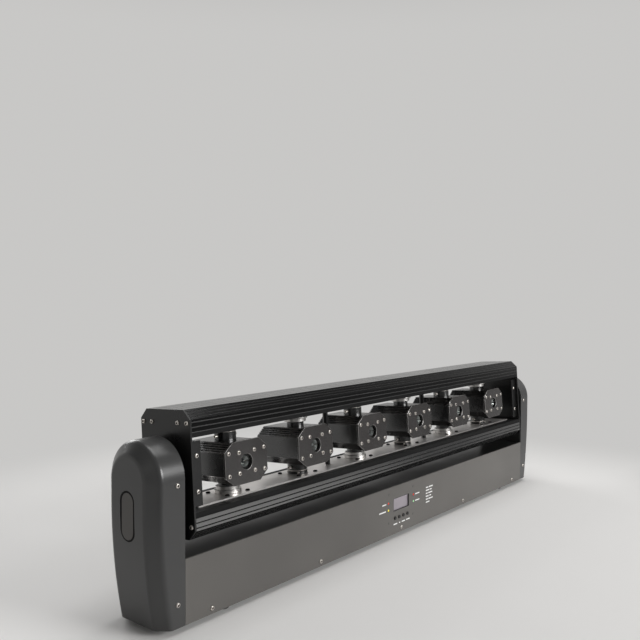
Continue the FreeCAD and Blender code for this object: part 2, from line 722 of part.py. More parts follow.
def outer_curve(body, side, outer, level):
    """Sketch of what lies beyond the outer face: upright above, drawn in along an arc below."""
    bend, tuck = S["cover_curve_height"], S["cover_tuck"]
    bend_radius = (bend * bend + tuck * tuck) / (tuck * 2)
    sketch = new_sketch(body, "XZ_Plane", level)
    beyond = outer + tuck
    corners = [
        ((outer - tuck) * side, ZERO), (outer * side, bend), (outer * side, pivot_height),
        (beyond * side, pivot_height), (beyond * side, ZERO),
    ]
    arc_start = 0
    if side < 0:
        corners = [corners[1], corners[0]] + corners[:1:-1]
    outline(sketch, corners, arcs={arc_start: ((outer - bend_radius) * side, bend)})
    return sketch


def arch_reach(spot):
    """How far a point lies from the arch's middle line, which ends at the tilt axis."""
    return math.hypot(spot.y, max(spot.z - pivot_height.value, 0))


def round_bevel(body, side):
    """Rounds the two edges of the broad bevel, which follow the arch all the way round."""
    doc.recompute()
    bevelled = body.Tip
    inner_limit = half_panel + S["cover_width"] - S["cover_tuck"] - S["cover_bevel_width"]
    reaches = (half_depth.value, (half_depth - S["cover_bevel_depth"]).value)
    names = []
    for number, edge in enumerate(bevelled.Shape.Edges, start=1):
        spots = edge.discretize(5)
        outside = all(spot.x * side > inner_limit.value - SAME_PLACE for spot in spots)
        follows = any(all(abs(arch_reach(spot) - reach) < SAME_PLACE for spot in spots) for reach in reaches)
        if outside and follows:
            names.append(f"Edge{number}")
    rounding = body.newObject("PartDesign::Fillet", "Fillet")
    rounding.Base = (bevelled, names)
    bind(rounding, "Radius", S["cover_edge"])


def end_cover(name, side):
    form = cover_form(f"{name}_cover_form", side, ZERO)
    round_bevel(form, side)
    outer = half_panel + S["cover_width"]
    recess = new_sketch(form, "YZ_Plane", outer * side)
    half_width = S["recess_width"] / 2
    top = S["recess_z"] + S["recess_height"] / 2 - half_width
    bottom = S["recess_z"] - S["recess_height"] / 2 + half_width
    outline(recess, [(half_width, bottom), (half_width, top), (-half_width, top), (-half_width, bottom)],
            arcs={1: (ZERO, top), 3: (ZERO, bottom)})
    extrude(form, "Pocket", recess, S["recess_depth"], backwards=side < 0)
    holes = new_sketch(form, "XZ_Plane")
    for level in (S["cover_screw_upper_z"], S["cover_screw_lower_z"]):
        circle(holes, (half_panel + S["cover_screw_x"]) * side, level, screw_hole)
    extrude(form, "Pocket", holes, None, symmetric=True)
    hollow = cover_form(f"{name}_cover_hollow", side, S["cover_wall"])
    shell = doc.addObject("Part::Cut", f"{name}_shell")
    shell.Base = form
    shell.Tool = hollow
    keep(shell, f"{name}_end_cover", BASE)


def side_arm(name, side):
    """Upright plate inside the cover: bearing seat at the tilt axis, bent edges for the cover screws."""
    body = new_body(f"{name}_arm")
    inset = S["cover_wall"] + S["fit_gap"]
    plate = new_sketch(body, "YZ_Plane", half_panel * side)
    arch(plate, half_depth - inset, inset)
    circle(plate, ZERO, pivot_height, bearing_radius + S["bore_gap"])
    circle(plate, ZERO, S["motor_z"], S["motor_pilot"] + S["bore_gap"])
    extrude(body, "Pad", plate, S["arm_thickness"], backwards=side < 0)
    outer = (half_panel + S["arm_thickness"]) * side
    edges = new_sketch(body, "YZ_Plane", outer)
    for front in (-1, 1):
        near, far = (half_depth - inset - S["sheet_wall"]) * front, (half_depth - inset) * front
        outline(edges, rectangle(near, inset, far, pivot_height))
    extrude(body, "Pad", edges, S["arm_flange"], backwards=side < 0)
    seat = new_sketch(body, "YZ_Plane", outer)
    circle(seat, ZERO, pivot_height, bearing_radius + S["bore_gap"])
    circle(seat, ZERO, pivot_height, bearing_radius + S["seat_wall"])
    extrude(body, "Pad", seat, S["bearing_width"] - S["arm_thickness"], backwards=side < 0)
    holes = new_sketch(body, "XZ_Plane")
    for level in (S["cover_screw_upper_z"], S["cover_screw_lower_z"]):
        circle(holes, (half_panel + S["cover_screw_x"]) * side, level, screw_hole)
    extrude(body, "Pocket", holes, None, symmetric=True)
    keep(body, f"{name}_side_arm", BASE)


def tilt_bearings():
    bore = S["shaft_radius"] + S["fit_gap"]
    ring = turned([(0, bore), (S["bearing_width"], bore), (S["bearing_width"], bearing_radius), (0, bearing_radius)])
    rings = [
        moved(ring, half_panel, 0, pivot_height),
        moved(ring, -half_panel - S["bearing_width"], 0, pivot_height),
    ]
    group("tilt_bearings", rings, BASE)


# Tilt drive in the right arm
def tilt_motor():
    """Stepper motor on the base's right end wall; its boss passes through wall and arm."""
    body = new_body("motor")
    face = half_panel - S["sheet_wall"]
    half = S["motor_size"] / 2
    case = new_sketch(body, "YZ_Plane", face)
    outline(case, octagon(half, half, S["motor_chamfer"], S["motor_chamfer"]))
    extrude(body, "Pad", case, S["motor_length"], backwards=True)
    boss = new_sketch(body, "YZ_Plane", face)
    circle(boss, ZERO, ZERO, S["motor_pilot"])
    extrude(body, "Pad", boss, S["sheet_wall"] + S["arm_thickness"])
    bore = new_sketch(body, "YZ_Plane", face + S["sheet_wall"] + S["arm_thickness"])
    circle(bore, ZERO, ZERO, S["motor_shaft"] + S["fit_gap"])
    extrude(body, "Pocket", bore, S["sheet_wall"] + S["arm_thickness"] + S["motor_shaft_depth"] + S["fit_gap"])
    keep(body, "tilt_motor", BASE.multiply(Placement(point(0, 0, S["motor_z"]), Rotation())))


def pulley_profile(radius, bore, near, far):
    """Drum between two rims, with a hub out to near on the seam's side."""
    rim = S["rim_width"]
    drum = S["pulley_place"] + half_panel
    drum_end = drum + S["belt_width"]
    lip = radius + S["pulley_rim"]
    hub = bore + S["pulley_rim"]
    return [
        (near, bore), (far, bore), (far, lip), (drum_end + S["fit_gap"], lip), (drum_end + S["fit_gap"], radius),
        (drum - S["fit_gap"], radius), (drum - S["fit_gap"], lip), (drum - S["fit_gap"] - rim, lip),
        (drum - S["fit_gap"] - rim, hub), (near, hub),
    ]


def motor_pulley():
    """Small pulley and the motor's shaft, turned from one profile."""
    body = new_body("small_pulley")
    profile = new_sketch(body, "XZ_Plane")
    far = half_panel + S["pulley_place"] + S["belt_width"] + S["fit_gap"] + S["rim_width"]
    near = half_panel + S["arm_thickness"] + S["fit_gap"]
    inner = half_panel - S["sheet_wall"] - S["motor_shaft_depth"]
    corners = pulley_profile(S["motor_pulley_radius"], S["motor_shaft"], near, far)
    outline(profile, [(inner, ZERO), (far, ZERO)] + corners[2:] + [corners[0], (inner, S["motor_shaft"])])
    revolve(body, profile, "H_Axis")
    keep(body, "motor_pulley", BASE.multiply(Placement(point(0, 0, S["motor_z"]), Rotation())))


def tilt_pulley():
    """Large pulley on the right tilt shaft."""
    body = new_body("large_pulley")
    profile = new_sketch(body, "XZ_Plane")
    far = half_panel + S["pulley_place"] + S["belt_width"] + S["fit_gap"] + S["rim_width"]
    near = half_panel + S["bearing_width"] + S["fit_gap"]
    outline(profile, pulley_profile(S["tilt_pulley_radius"], S["shaft_radius"] + S["bore_gap"], near, far))
    revolve(body, profile, "H_Axis")
    keep(body, "tilt_pulley", FRAME)


def belt_loop(extra):
    """Face inside a line round both pulleys, at a distance extra from their seats."""
    low, high = S["motor_z"].value, pivot_height.value
    small = (S["motor_pulley_radius"] + extra).value
    large = (S["tilt_pulley_radius"] + extra).value
    lean = math.asin((large - small) / (high - low))
    out, down = math.cos(lean), -math.sin(lean)
    right = [Vector(0, small * out, low + small * down), Vector(0, large * out, high + large * down)]
    left = [Vector(0, -spot.y, spot.z) for spot in right]
    edges = [
        Part.makeLine(right[0], right[1]),
        Part.Arc(right[1], Vector(0, 0, high + large), left[1]).toShape(),
        Part.makeLine(left[1], left[0]),
        Part.Arc(left[0], Vector(0, 0, low - small), right[0]).toShape(),
    ]
    return Part.Face(Part.Wire(edges))


def tilt_belt():
    ring = belt_loop(S["fit_gap"] + S["belt_thickness"]).cut(belt_loop(S["fit_gap"]))
    belt = ring.extrude(point(S["belt_width"], 0, 0))
    group("tilt_belt", [moved(belt, half_panel + S["pulley_place"], 0, 0)], BASE)


def tilt_shafts():
    """Hollow shafts with a flange on the frame's end plate; the right one carries the pulley."""
    start = half_frame - S["end_plate_thickness"] - S["hub_thickness"]
    flange_end = half_frame + S["shaft_flange"]
    ends = {-1: half_panel + S["bearing_width"] + S["sheet_wall"],
            1: half_panel + S["pulley_place"] + S["belt_width"] + S["sheet_wall"]}
    shafts = []
    for name, side in SIDES:
        profile = [
            (start, S["shaft_bore"]), (ends[side], S["shaft_bore"]), (ends[side], S["shaft_radius"]),
            (flange_end, S["shaft_radius"]), (flange_end, S["shaft_flange_radius"]),
            (half_frame, S["shaft_flange_radius"]), (half_frame, S["shaft_radius"]), (start, S["shaft_radius"]),
        ]
        shafts.append(turned([(x * side, radius) for x, radius in profile]))
    group("tilt_shafts", shafts, FRAME)


# Tilting frame
def rail(label, up):
    """Hollow fluted extrusion, open where the pan motors and pivots pass its inner wall."""
    body = new_body(label)
    section = new_sketch(body, "YZ_Plane")
    depth, chamfer, wall = half_frame_depth, S["frame_chamfer"], S["rail_wall"]
    inner, outer = half_opening, half_frame_height
    # Anticlockwise round the upper rail: inner corners, rear side, rear chamfer, flat, front chamfer, front side
    corners = [
        (-depth, inner * up), (depth, inner * up), (depth, (outer - chamfer) * up), (depth - chamfer, outer * up),
        (chamfer - depth, outer * up), (-depth, (outer - chamfer) * up),
    ]
    outline(section, corners)
    inner_chamfer = chamfer - wall * (2 - math.sqrt(2))
    hollow = [
        (wall - depth, inner + wall), (depth - wall, inner + wall), (depth - wall, outer - wall - inner_chamfer),
        (depth - wall - inner_chamfer, outer - wall), (wall + inner_chamfer - depth, outer - wall),
        (wall - depth, outer - wall - inner_chamfer),
    ]
    outline(section, [(y, z * up) for y, z in hollow])
    extrude(body, "Pad", section, half_rail * 2, symmetric=True)
    side_middle = S["side_groove_pitch"] * (SIDE_GROOVES + 1) / 2
    rows = {
        1: (SIDE_GROOVES, S["side_groove_pitch"], side_middle),
        2: (CHAMFER_GROOVES, S["chamfer_groove_pitch"], None),
        3: (FACE_GROOVES, S["face_groove_pitch"], None),
        4: (CHAMFER_GROOVES, S["chamfer_groove_pitch"], None),
        5: (SIDE_GROOVES, S["side_groove_pitch"], S["rail_height"] - chamfer - side_middle),
    }
    for index, (count, pitch, middle) in rows.items():
        following = corners[(index + 1) % len(corners)]
        row = groove_row(body, "YZ_Plane", ZERO, corners[index], following, count, pitch,
                         S["groove_width"], S["groove_depth"], middle)
        extrude(body, "Pocket", row, None, symmetric=True)
    pivots = new_sketch(body, "XY_Plane")
    for index in range(HEADS):
        radius = S["pan_body_radius"] if motor_side(index) == up else S["pan_bearing_radius"]
        circle(pivots, head_pitch * (index - (HEADS - 1) / 2), ZERO, radius + S["fit_gap"])
    extrude(body, "Pocket", pivots, half_opening + wall, backwards=up > 0)
    keep(body, label, FRAME)


def plate_screw_places():
    """Screws of an end plate in the rails' ends: (y, z)."""
    level = half_frame_height - S["plate_screw_z"]
    outer = half_frame_depth - S["plate_screw_outer"]
    return [
        (y * side, level * up) for up in (-1, 1) for y in (S["plate_screw_inner"], outer) for side in (-1, 1)]


def end_plate(name, side):
    body = new_body(f"{name}_plate")
    face = new_sketch(body, "YZ_Plane", half_frame * side)
    outline(face, octagon(half_frame_depth, half_frame_height, S["frame_chamfer"], S["frame_chamfer"]))
    circle(face, ZERO, ZERO, S["shaft_radius"] + S["bore_gap"])
    for y, z in plate_screw_places():
        circle(face, y, z, screw_hole)
    extrude(body, "Pad", face, S["end_plate_thickness"], backwards=side > 0)
    keep(body, f"{name}_end_plate", FRAME)


def hub_bracket(name, side):
    """Channel inside the end plate that takes the tilt shaft; its bent edges face front and rear."""
    body = new_body(f"{name}_hub")
    profile = new_sketch(body, "XY_Plane")
    back = half_rail
    web = back - S["hub_thickness"]
    tip = web - S["hub_flange"]
    reach = half_frame_depth - S["hub_setback"]
    inside = reach - S["hub_thickness"]
    corners = [
        (back, -reach), (back, reach), (tip, reach), (tip, inside), (web, inside), (web, -inside),
        (tip, -inside), (tip, -reach),
    ]
    outline(profile, [(x * side, y) for x, y in corners])
    extrude(body, "Pad", profile, (half_opening - S["hub_end_gap"]) * 2, symmetric=True)
    bore = new_sketch(body, "YZ_Plane")
    circle(bore, ZERO, ZERO, S["shaft_radius"] + S["bore_gap"])
    extrude(body, "Pocket", bore, None, symmetric=True)
    holes = new_sketch(body, "XZ_Plane")
    for up in (-1, 1):
        circle(holes, (web + tip) / 2 * side, S["hub_screw_z"] * up, screw_hole)
    extrude(body, "Pocket", holes, None, symmetric=True)
    keep(body, f"{name}_hub_bracket", FRAME)


def mounting_trays():
    """Strips on the rails' inner faces, bored for motors, bearings and fixings, and the two posts between them."""
    half = half_frame - S["tray_end_gap"]
    thickness = S["tray_thickness"]
    trays = []
    for up in (-1, 1):
        level = tray_level if up > 0 else -half_opening
        tray = Part.makeBox(
            2 * half.value, S["tray_width"].value, thickness.value, point(-half, -S["tray_width"] / 2, level))
        holes = []
        for index in range(HEADS):
            radius = S["pan_body_radius"] if motor_side(index) == up else S["pan_bearing_radius"]
            holes.append((head_place(index), 0, (radius + S["fit_gap"]).value))
            ring = S["tray_hole_ring"].value * math.sqrt(0.5)
            for x in (-ring, ring):
                for y in (-ring, ring):
                    holes.append((head_place(index) + x, y, S["tray_hole_radius"].value))
        for x, y, radius in holes:
            tray = tray.cut(Part.makeCylinder(radius, thickness.value, Vector(x, y, level.value)))
        trays.append(tray)
    for side in (-1, 1):
        trays.append(tray_post(head_pitch * side))
    group("mounting_trays", trays, FRAME)


def tray_post(x):
    """Hexagonal post from tray to tray, halfway between two heads."""
    corner = S["tray_post_flats"] / math.sqrt(3)
    turns = [math.radians(60 * step) for step in range(6)]
    corners = [point(x + corner * math.cos(turn), corner * math.sin(turn), -tray_level) for turn in turns]
    section = Part.Face(Part.makePolygon(corners + corners[:1]))
    return section.extrude(point(0, 0, 2 * tray_level))


def upward(shape, x, up):
    """Stand a piece turned about X on a pan axis, pointing away from the head."""
    return moved(shape, x, 0, 0, Rotation(Vector(0, 1, 0), -90 * up))


def pan_motors():
    """Round stepper motors: flange and neck on the tray, body inside the rail, shaft into the head."""
    neck_end = tray_level - S["pan_flange"] - S["pan_neck"]
    shaft_end = half_housing_height + S["drive_hub_height"] - S["pan_shaft_depth"]
    flange = tray_level - S["pan_flange"]
    body_end = half_frame_height - S["rail_wall"] - S["pan_body_room"]
    motor = turned([
        (shaft_end, 0), (shaft_end, S["pan_shaft"]), (neck_end, S["pan_shaft"]), (neck_end, S["pan_neck_radius"]),
        (flange, S["pan_neck_radius"]), (flange, S["pan_flange_radius"]), (tray_level, S["pan_flange_radius"]),
        (tray_level, S["pan_body_radius"]), (body_end, S["pan_body_radius"]), (body_end, 0),
    ])
    motors = [upward(motor, head_place(index), motor_side(index)) for index in range(HEADS)]
    group("pan_motors", motors, FRAME)


def pan_bearings():
    """Flanged bearings in the trays for the pivot pins on the heads' free sides."""
    bore = S["pin_radius"] + S["fit_gap"]
    flange = tray_level - S["pan_bearing_block"]
    bearing = turned([
        (flange, bore), (tray_level + S["pan_bearing_length"], bore),
        (tray_level + S["pan_bearing_length"], S["pan_bearing_radius"]), (tray_level, S["pan_bearing_radius"]),
        (tray_level, S["idle_hub_radius"]), (flange, S["idle_hub_radius"]),
    ])
    bearings = [upward(bearing, head_place(index), -motor_side(index)) for index in range(HEADS)]
    group("pan_bearings", bearings, FRAME)


def frame_screws():
    """End plate screws and the screws in the hub brackets' bent edges."""
    plate_screw = screw(S["end_plate_thickness"] + S["screw_reach"])
    hub_screw = screw(S["hub_thickness"] + S["screw_reach"])
    hub_x = half_rail - S["hub_thickness"] - S["hub_flange"] / 2
    hub_y = half_frame_depth - S["hub_setback"]
    screws = []
    for name, side in SIDES:
        outward = Rotation(Vector(0, 0, 1), 0 if side > 0 else 180)
        screws += [moved(plate_screw, half_frame * side, y, z, outward) for y, z in plate_screw_places()]
        for front in (-1, 1):
            facing = Rotation(Vector(0, 0, 1), 90 * front)
            for up in (-1, 1):
                screws.append(moved(hub_screw, hub_x * side, hub_y * front, S["hub_screw_z"] * up, facing))
    group("frame_screws", screws, FRAME)


# Laser heads
def head_housing(index):
    """Octagonal finned housing with a hub on the motor's side and a pivot pin on the other."""
    body = new_body(f"housing_{index + 1}")
    drive = motor_side(index)
    section = new_sketch(body, "XZ_Plane", housing_front)
    corners = octagon(half_housing_width, half_housing_height, S["head_chamfer_x"], S["head_chamfer_z"])
    outline(section, corners)
    extrude(body, "Pad", section, housing_front + S["head_back"], backwards=True)
    for spot in range(1, len(corners), 2):
        following = corners[(spot + 1) % len(corners)]
        fins = groove_row(body, "XZ_Plane", housing_front, corners[spot], following, FIN_GROOVES,
                          S["fin_pitch"], S["fin_width"], S["fin_depth"])
        extrude(body, "Pocket", fins, None)
    hub = new_sketch(body, "XY_Plane", half_housing_height * drive)
    circle(hub, ZERO, ZERO, S["drive_hub_radius"])
    extrude(body, "Pad", hub, S["drive_hub_height"], backwards=drive < 0)
    free_hub = new_sketch(body, "XY_Plane", -half_housing_height * drive)
    circle(free_hub, ZERO, ZERO, S["idle_hub_radius"])
    free_height = tray_level - S["pan_bearing_block"] - S["hub_gap"] - half_housing_height
    extrude(body, "Pad", free_hub, free_height, backwards=drive > 0)
    pin = new_sketch(body, "XY_Plane", -half_housing_height * drive)
    circle(pin, ZERO, ZERO, S["pin_radius"])
    extrude(body, "Pad", pin, tray_level + S["pin_length"] - half_housing_height, backwards=drive > 0)
    socket = new_sketch(body, "XY_Plane", (half_housing_height + S["drive_hub_height"]) * drive)
    circle(socket, ZERO, ZERO, S["pan_shaft"] + S["fit_gap"])
    extrude(body, "Pocket", socket, S["pan_shaft_depth"] + S["fit_gap"], backwards=drive < 0)
    window_seat = new_sketch(body, "XZ_Plane", housing_front)
    circle(window_seat, ZERO, ZERO, S["window_radius"] + S["bore_gap"])
    extrude(body, "Pocket", window_seat, S["window_thickness"])
    bore = new_sketch(body, "XZ_Plane", housing_front)
    circle(bore, ZERO, ZERO, S["laser_radius"] + S["bore_gap"])
    extrude(body, "Pocket", bore, S["window_thickness"] + S["laser_nose_length"] + S["laser_length"] + S["fit_gap"])
    keep(body, f"head_{index + 1}_housing", head_frame(index))


def head_frame(index):
    return FRAME.multiply(Placement(Vector(head_place(index), 0, 0), Rotation()))


def head_front_plate(index):
    body = new_body(f"plate_{index + 1}")
    face = new_sketch(body, "XZ_Plane", S["head_front"])
    outline(face, octagon(
        S["head_width"] / 2, S["head_height"] / 2, S["head_chamfer_x"], S["head_chamfer_z"]))
    circle(face, ZERO, ZERO, S["aperture_radius"])
    extrude(body, "Pad", face, S["head_plate"], backwards=True)
    keep(body, f"head_{index + 1}_front_plate", head_frame(index))


def head_window(index):
    glass = doc.addObject("Part::Cylinder", f"glass_{index + 1}")
    bind(glass, "Radius", S["window_radius"])
    bind(glass, "Height", S["window_thickness"])
    place = Placement(point(0, -housing_front, 0), Rotation(Vector(1, 0, 0), -90))
    keep(glass, f"head_{index + 1}_window", head_frame(index).multiply(place))


def head_laser_module(index):
    """Barrel with a narrower lens holder behind the window."""
    body = new_body(f"laser_{index + 1}")
    profile = new_sketch(body, "XY_Plane")
    front = S["window_thickness"] - housing_front
    shoulder = front + S["laser_nose_length"]
    end = shoulder + S["laser_length"]
    outline(profile, [
        (ZERO, front), (S["laser_nose"], front), (S["laser_nose"], shoulder), (S["laser_radius"], shoulder),
        (S["laser_radius"], end), (ZERO, end),
    ])
    revolve(body, profile, "V_Axis")
    keep(body, f"head_{index + 1}_laser_module", head_frame(index))


base_chassis()
front_panel()
top_cover()
rubber_feet()
case_screws()
display_screen()
control_board()
indicator_leds()
menu_buttons()
power_supply()
rear_sockets("power_sockets", 0, 2)
rear_sockets("data_sockets", 2, 3)
fuse_holder()
for name, side in SIDES:
    end_cover(name, side)
    side_arm(name, side)
    end_plate(name, side)
    hub_bracket(name, side)
tilt_bearings()
tilt_motor()
motor_pulley()
tilt_pulley()
tilt_belt()
tilt_shafts()
rail("upper_rail", 1)
rail("lower_rail", -1)
mounting_trays()
pan_motors()
pan_bearings()
frame_screws()
for index in range(HEADS):
    head_housing(index)
    head_front_plate(index)
    head_window(index)
    head_laser_module(index)

doc.recompute()
for item in doc.Objects:
    if "Invalid" in item.State or "Error" in item.State:
        raise RuntimeError(f"{item.Label} failed: {item.State}")
for label, item in parts.items():
    if item.Shape.isNull() or not item.Shape.isValid():
        raise RuntimeError(f"{label} has no valid shape")

os.makedirs("parts", exist_ok=True)
for label, item in parts.items():
    item.Shape.exportStep(f"parts/{label}.step")
print(f"{len(parts)} sub-parts written")
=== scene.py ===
"""Looks of a moving laser bar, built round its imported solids.

The solids give every shape and place. Their visible pieces get broken edges and a finish of their own,
and the small fasteners, lens cells and panel marks are added here. The object stands on a pale floor in
soft studio light, seen from the front left. Lengths are in metres, +X along the bar to the right, -Y out
of the control panel, +Z up.
"""

import json
import math

import bmesh
import bpy
from mathutils import Matrix, Vector


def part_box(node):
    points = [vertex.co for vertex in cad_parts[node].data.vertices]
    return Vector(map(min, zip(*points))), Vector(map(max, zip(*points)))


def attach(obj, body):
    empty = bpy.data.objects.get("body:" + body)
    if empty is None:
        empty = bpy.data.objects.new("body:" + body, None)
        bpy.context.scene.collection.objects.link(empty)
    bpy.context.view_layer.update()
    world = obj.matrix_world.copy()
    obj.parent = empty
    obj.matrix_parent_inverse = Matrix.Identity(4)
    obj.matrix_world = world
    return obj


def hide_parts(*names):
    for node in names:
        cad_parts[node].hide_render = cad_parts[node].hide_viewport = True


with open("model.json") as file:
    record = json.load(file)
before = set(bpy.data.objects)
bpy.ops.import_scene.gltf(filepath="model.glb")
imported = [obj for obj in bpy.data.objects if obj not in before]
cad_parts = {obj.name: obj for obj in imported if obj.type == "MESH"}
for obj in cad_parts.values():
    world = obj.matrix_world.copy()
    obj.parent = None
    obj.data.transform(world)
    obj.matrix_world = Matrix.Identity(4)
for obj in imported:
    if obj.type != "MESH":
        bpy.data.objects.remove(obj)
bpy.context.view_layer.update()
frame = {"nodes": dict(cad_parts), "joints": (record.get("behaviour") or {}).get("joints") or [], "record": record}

MM = 0.001
HEADS = range(1, 7)
BUTTONS = range(1, 5)

# Camera at the photograph's viewpoint
CAMERA_PLACE = Vector((-1.00792, -0.69843, 0.38348))
CAMERA_YAW = math.radians(50.77)
CAMERA_PITCH = math.radians(1.78)
CAMERA_ROLL = math.radians(0.18)
CAMERA_LENS = 42.11
CAMERA_SENSOR = 36.0
CAMERA_REACH = 200.0

# Meshes: points in a ring, the gap that is joined, and the angles that are flattened, left sharp or broken
ROUND = 32
JOINED_GAP = 0.002 * MM
FLAT_ANGLE = math.radians(0.2)
SHARP_ANGLE = math.radians(35.0)
BROKEN_ANGLE = math.radians(28.0)

# Front plate of a laser head, from the pan axis, and its screws, from the middle of the plate
HEAD_FRONT = 37.3 * MM
OUTER_SCREW = Vector((31.0, 14.0)) * MM
INNER_SCREW = Vector((13.5, 13.0)) * MM
PLATE_SCREW_RADIUS = 2.8 * MM
PLATE_SCREW_HEIGHT = 1.5 * MM

# Lens cell behind the window of a head, with its small lens and the barrel behind it
CELL_FRONT = 32.3 * MM
CELL_RADIUS = 7.0 * MM
CELL_DEPTH = 6.0 * MM
CELL_BORE = 3.0 * MM
CELL_SLOT = 1.3 * MM
CELL_SINK = 0.1 * MM
CELL_MOUTH = 0.92 * CELL_RADIUS
CELL_FLOOR = 0.6 * CELL_DEPTH
CELL_FUNNEL = 0.72 * CELL_FLOOR
LENS_SHAPE = (0.96, 0.96, 0.55)
LENS_SEGMENTS = 24
LENS_RINGS = 12
BARREL_RADIUS = 8.0 * MM
BARREL_LENGTH = 42.0 * MM
BARREL_CHAMFER = 0.6 * MM

# Free side of a head, from its middle along the pan axis
TRAY_FACE = 41.3 * MM
BLOCK_HEIGHT = 4.0 * MM
RUNNING_GAP = 1.0 * MM
HUB_RADIUS = 14.0 * MM
HUB_SCREW_LEVEL = 31.5 * MM
HUB_SCREW_RADIUS = 2.4 * MM
HUB_SCREW_HEIGHT = 3.2 * MM
HUB_COLLAR = 1.4 * MM
BLOCK_SCREWS = 4
BLOCK_SCREW_RADIUS = 1.5 * MM
BLOCK_SCREW_HEIGHT = 1.0 * MM
RACE_OUTER = 0.96 * HUB_RADIUS
RACE_INNER = 0.50 * HUB_RADIUS
RACE_CLEARANCE = 0.08 * MM

# Section of a rail from the middle of the frame, and the depths that count as a groove
RAIL_INNER = 43.3 * MM
RAIL_LIP = 5.4 * MM
RAIL_OUTER = 75.5 * MM
RAIL_HALF_DEPTH = 45.0 * MM
RAIL_CHAMFER = 11.3 * MM
GROOVE_START = 0.2 * MM
GROOVE_END = 1.1 * MM

# A face of a rail whose normal leans further along the bar than this is one of its ends
END_FACE_LEAN = 0.5

# Button screws in the holes of the trays, from each pan axis
TRAY_SCREW = 17.9 * MM
TRAY_SCREW_RADIUS = 3.1 * MM
TRAY_SCREW_HEIGHT = 1.6 * MM
TRAY_SHANK_RADIUS = 2.5 * MM
TRAY_SHANK_LENGTH = 1.8 * MM

# The posts between the trays are narrower than this along the bar, and the trays are longer
POST_LIMIT = 14.0 * MM

# Screws of the case and the frame, and the radius beyond which only a head has points
SCREW_SHANK = 1.5 * MM
SCREW_RADIUS = 2.8 * MM
SCREW_HEIGHT = 1.7 * MM
SCREW_RIM = 0.9 * SCREW_RADIUS

# Button head in shares of its radius and height, and its socket in shares of the corner and the height
BUTTON_HEAD = ((1.0, 0.0), (1.0, 0.30), (0.95, 0.58), (0.84, 0.85), (0.70, 1.0))
BUTTON_CORNER = 0.54
BUTTON_SOCKET = ((1.06, 1.0), (1.0, 0.93), (1.0, 0.25))

# Cap head on a collar, in shares of its radius and height
COLLAR_SHARE = 0.8
COLLAR_SINK = 0.3 * MM
CAP_TOP = 0.9
CAP_CHAMFER = 0.12
CAP_CORNER = 0.58
CAP_SOCKET = 0.5

# Places on the control panel, from the middle of its lower edge
STUD_X = 35.0 * MM
STUD_LEVELS = (66.0 * MM, 20.5 * MM)
STUD_RADIUS = 2.2 * MM
STUD_TOP = 0.9 * STUD_RADIUS
STUD_SINK = 0.1 * MM
STUD_PROUD = 0.15 * MM
INDICATOR_MIDDLE = 46.5 * MM

# Plain printed dashes on the control panel: left end, right end and level
MARK_HEIGHT = 1.8 * MM
MARK_PROUD = 0.06 * MM
UPPER_MARK = 52.0 * MM
LOWER_MARK = 41.0 * MM
BUTTON_MARK = 15.4 * MM
PANEL_MARKS = (
    (-53.7 * MM, -42.9 * MM, UPPER_MARK),
    (-61.8 * MM, -43.7 * MM, LOWER_MARK),
    (41.7 * MM, 54.5 * MM, UPPER_MARK),
    (41.7 * MM, 54.5 * MM, LOWER_MARK),
    (-22.1 * MM, -11.7 * MM, BUTTON_MARK),
    (-6.4 * MM, -3.2 * MM, BUTTON_MARK),
    (1.7 * MM, 10.9 * MM, BUTTON_MARK),
    (14.6 * MM, 25.0 * MM, BUTTON_MARK),
    (75.5 * MM, 83.0 * MM, 55.5 * MM),
    (85.0 * MM, 97.5 * MM, 55.5 * MM),
    (75.5 * MM, 86.0 * MM, 50.5 * MM),
    (88.0 * MM, 94.0 * MM, 50.5 * MM),
    (75.5 * MM, 81.0 * MM, 45.5 * MM),
    (83.0 * MM, 96.0 * MM, 45.5 * MM),
    (75.5 * MM, 84.5 * MM, 40.5 * MM),
    (86.5 * MM, 92.5 * MM, 40.5 * MM),
    (75.5 * MM, 82.0 * MM, 35.5 * MM),
    (84.0 * MM, 97.5 * MM, 35.5 * MM),
    (75.5 * MM, 87.0 * MM, 30.5 * MM),
)

# Black sheet on the walls of the display window, painted shade
WINDOW_HALF_WIDTH = 22.5 * MM
WINDOW_HALF_HEIGHT = 10.3 * MM
WINDOW_MIDDLE = 46.6 * MM
WINDOW_DEPTH = 2.0 * MM
WINDOW_SHADE_THICKNESS = 0.7 * MM
WINDOW_SHADE_SINK = 0.05 * MM

# Plain inserts in the recesses of the end covers, each with a sunk rim painted dull black as shade
INSERT_HALF_WIDTH = 12.6 * MM
INSERT_HALF_HEIGHT = 29.1 * MM
INSERT_MIDDLE = 134.5 * MM
INSERT_DEPTH = 1.15 * MM
INSERT_SINK = 0.4 * MM
SHADE_RIM = 2.2 * MM
SHADE_RIM_DEPTH = 0.9 * MM

# Rear sockets
FLANGE_HALF_WIDTH = 13.0 * MM
FLANGE_SCREW = Vector((9.5, 12.0)) * MM
FLANGE_SCREW_RADIUS = 2.3 * MM

# Directions in which a flat thing can face: its own X, Y and Z axes in the part's axes
FACING_FRONT = Matrix(((1, 0, 0, 0), (0, 0, -1, 0), (0, 1, 0, 0), (0, 0, 0, 1)))
FACING_BACK = Matrix(((-1, 0, 0, 0), (0, 0, 1, 0), (0, 1, 0, 0), (0, 0, 0, 1)))

# Axes of the tilting frame at rest
joints = {joint["name"]: joint for joint in frame["joints"]}
tilt_place = Vector(joints["tilt"]["pos_m"])
pan_axis = Vector(joints["pan_1"]["axis"])
rest_tilt = math.atan2(pan_axis.y, pan_axis.z)
TILTED = Matrix.Translation(tilt_place) @ Matrix.Rotation(-rest_tilt, 4, "X")
panel_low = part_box("front_panel")[0]


def head_place(number):
    """Axes of a laser head at rest: origin on its pan axis at the height of its middle."""
    along = Vector(joints[f"pan_{number}"]["pos_m"]).x
    return TILTED @ Matrix.Translation((along, 0, 0))


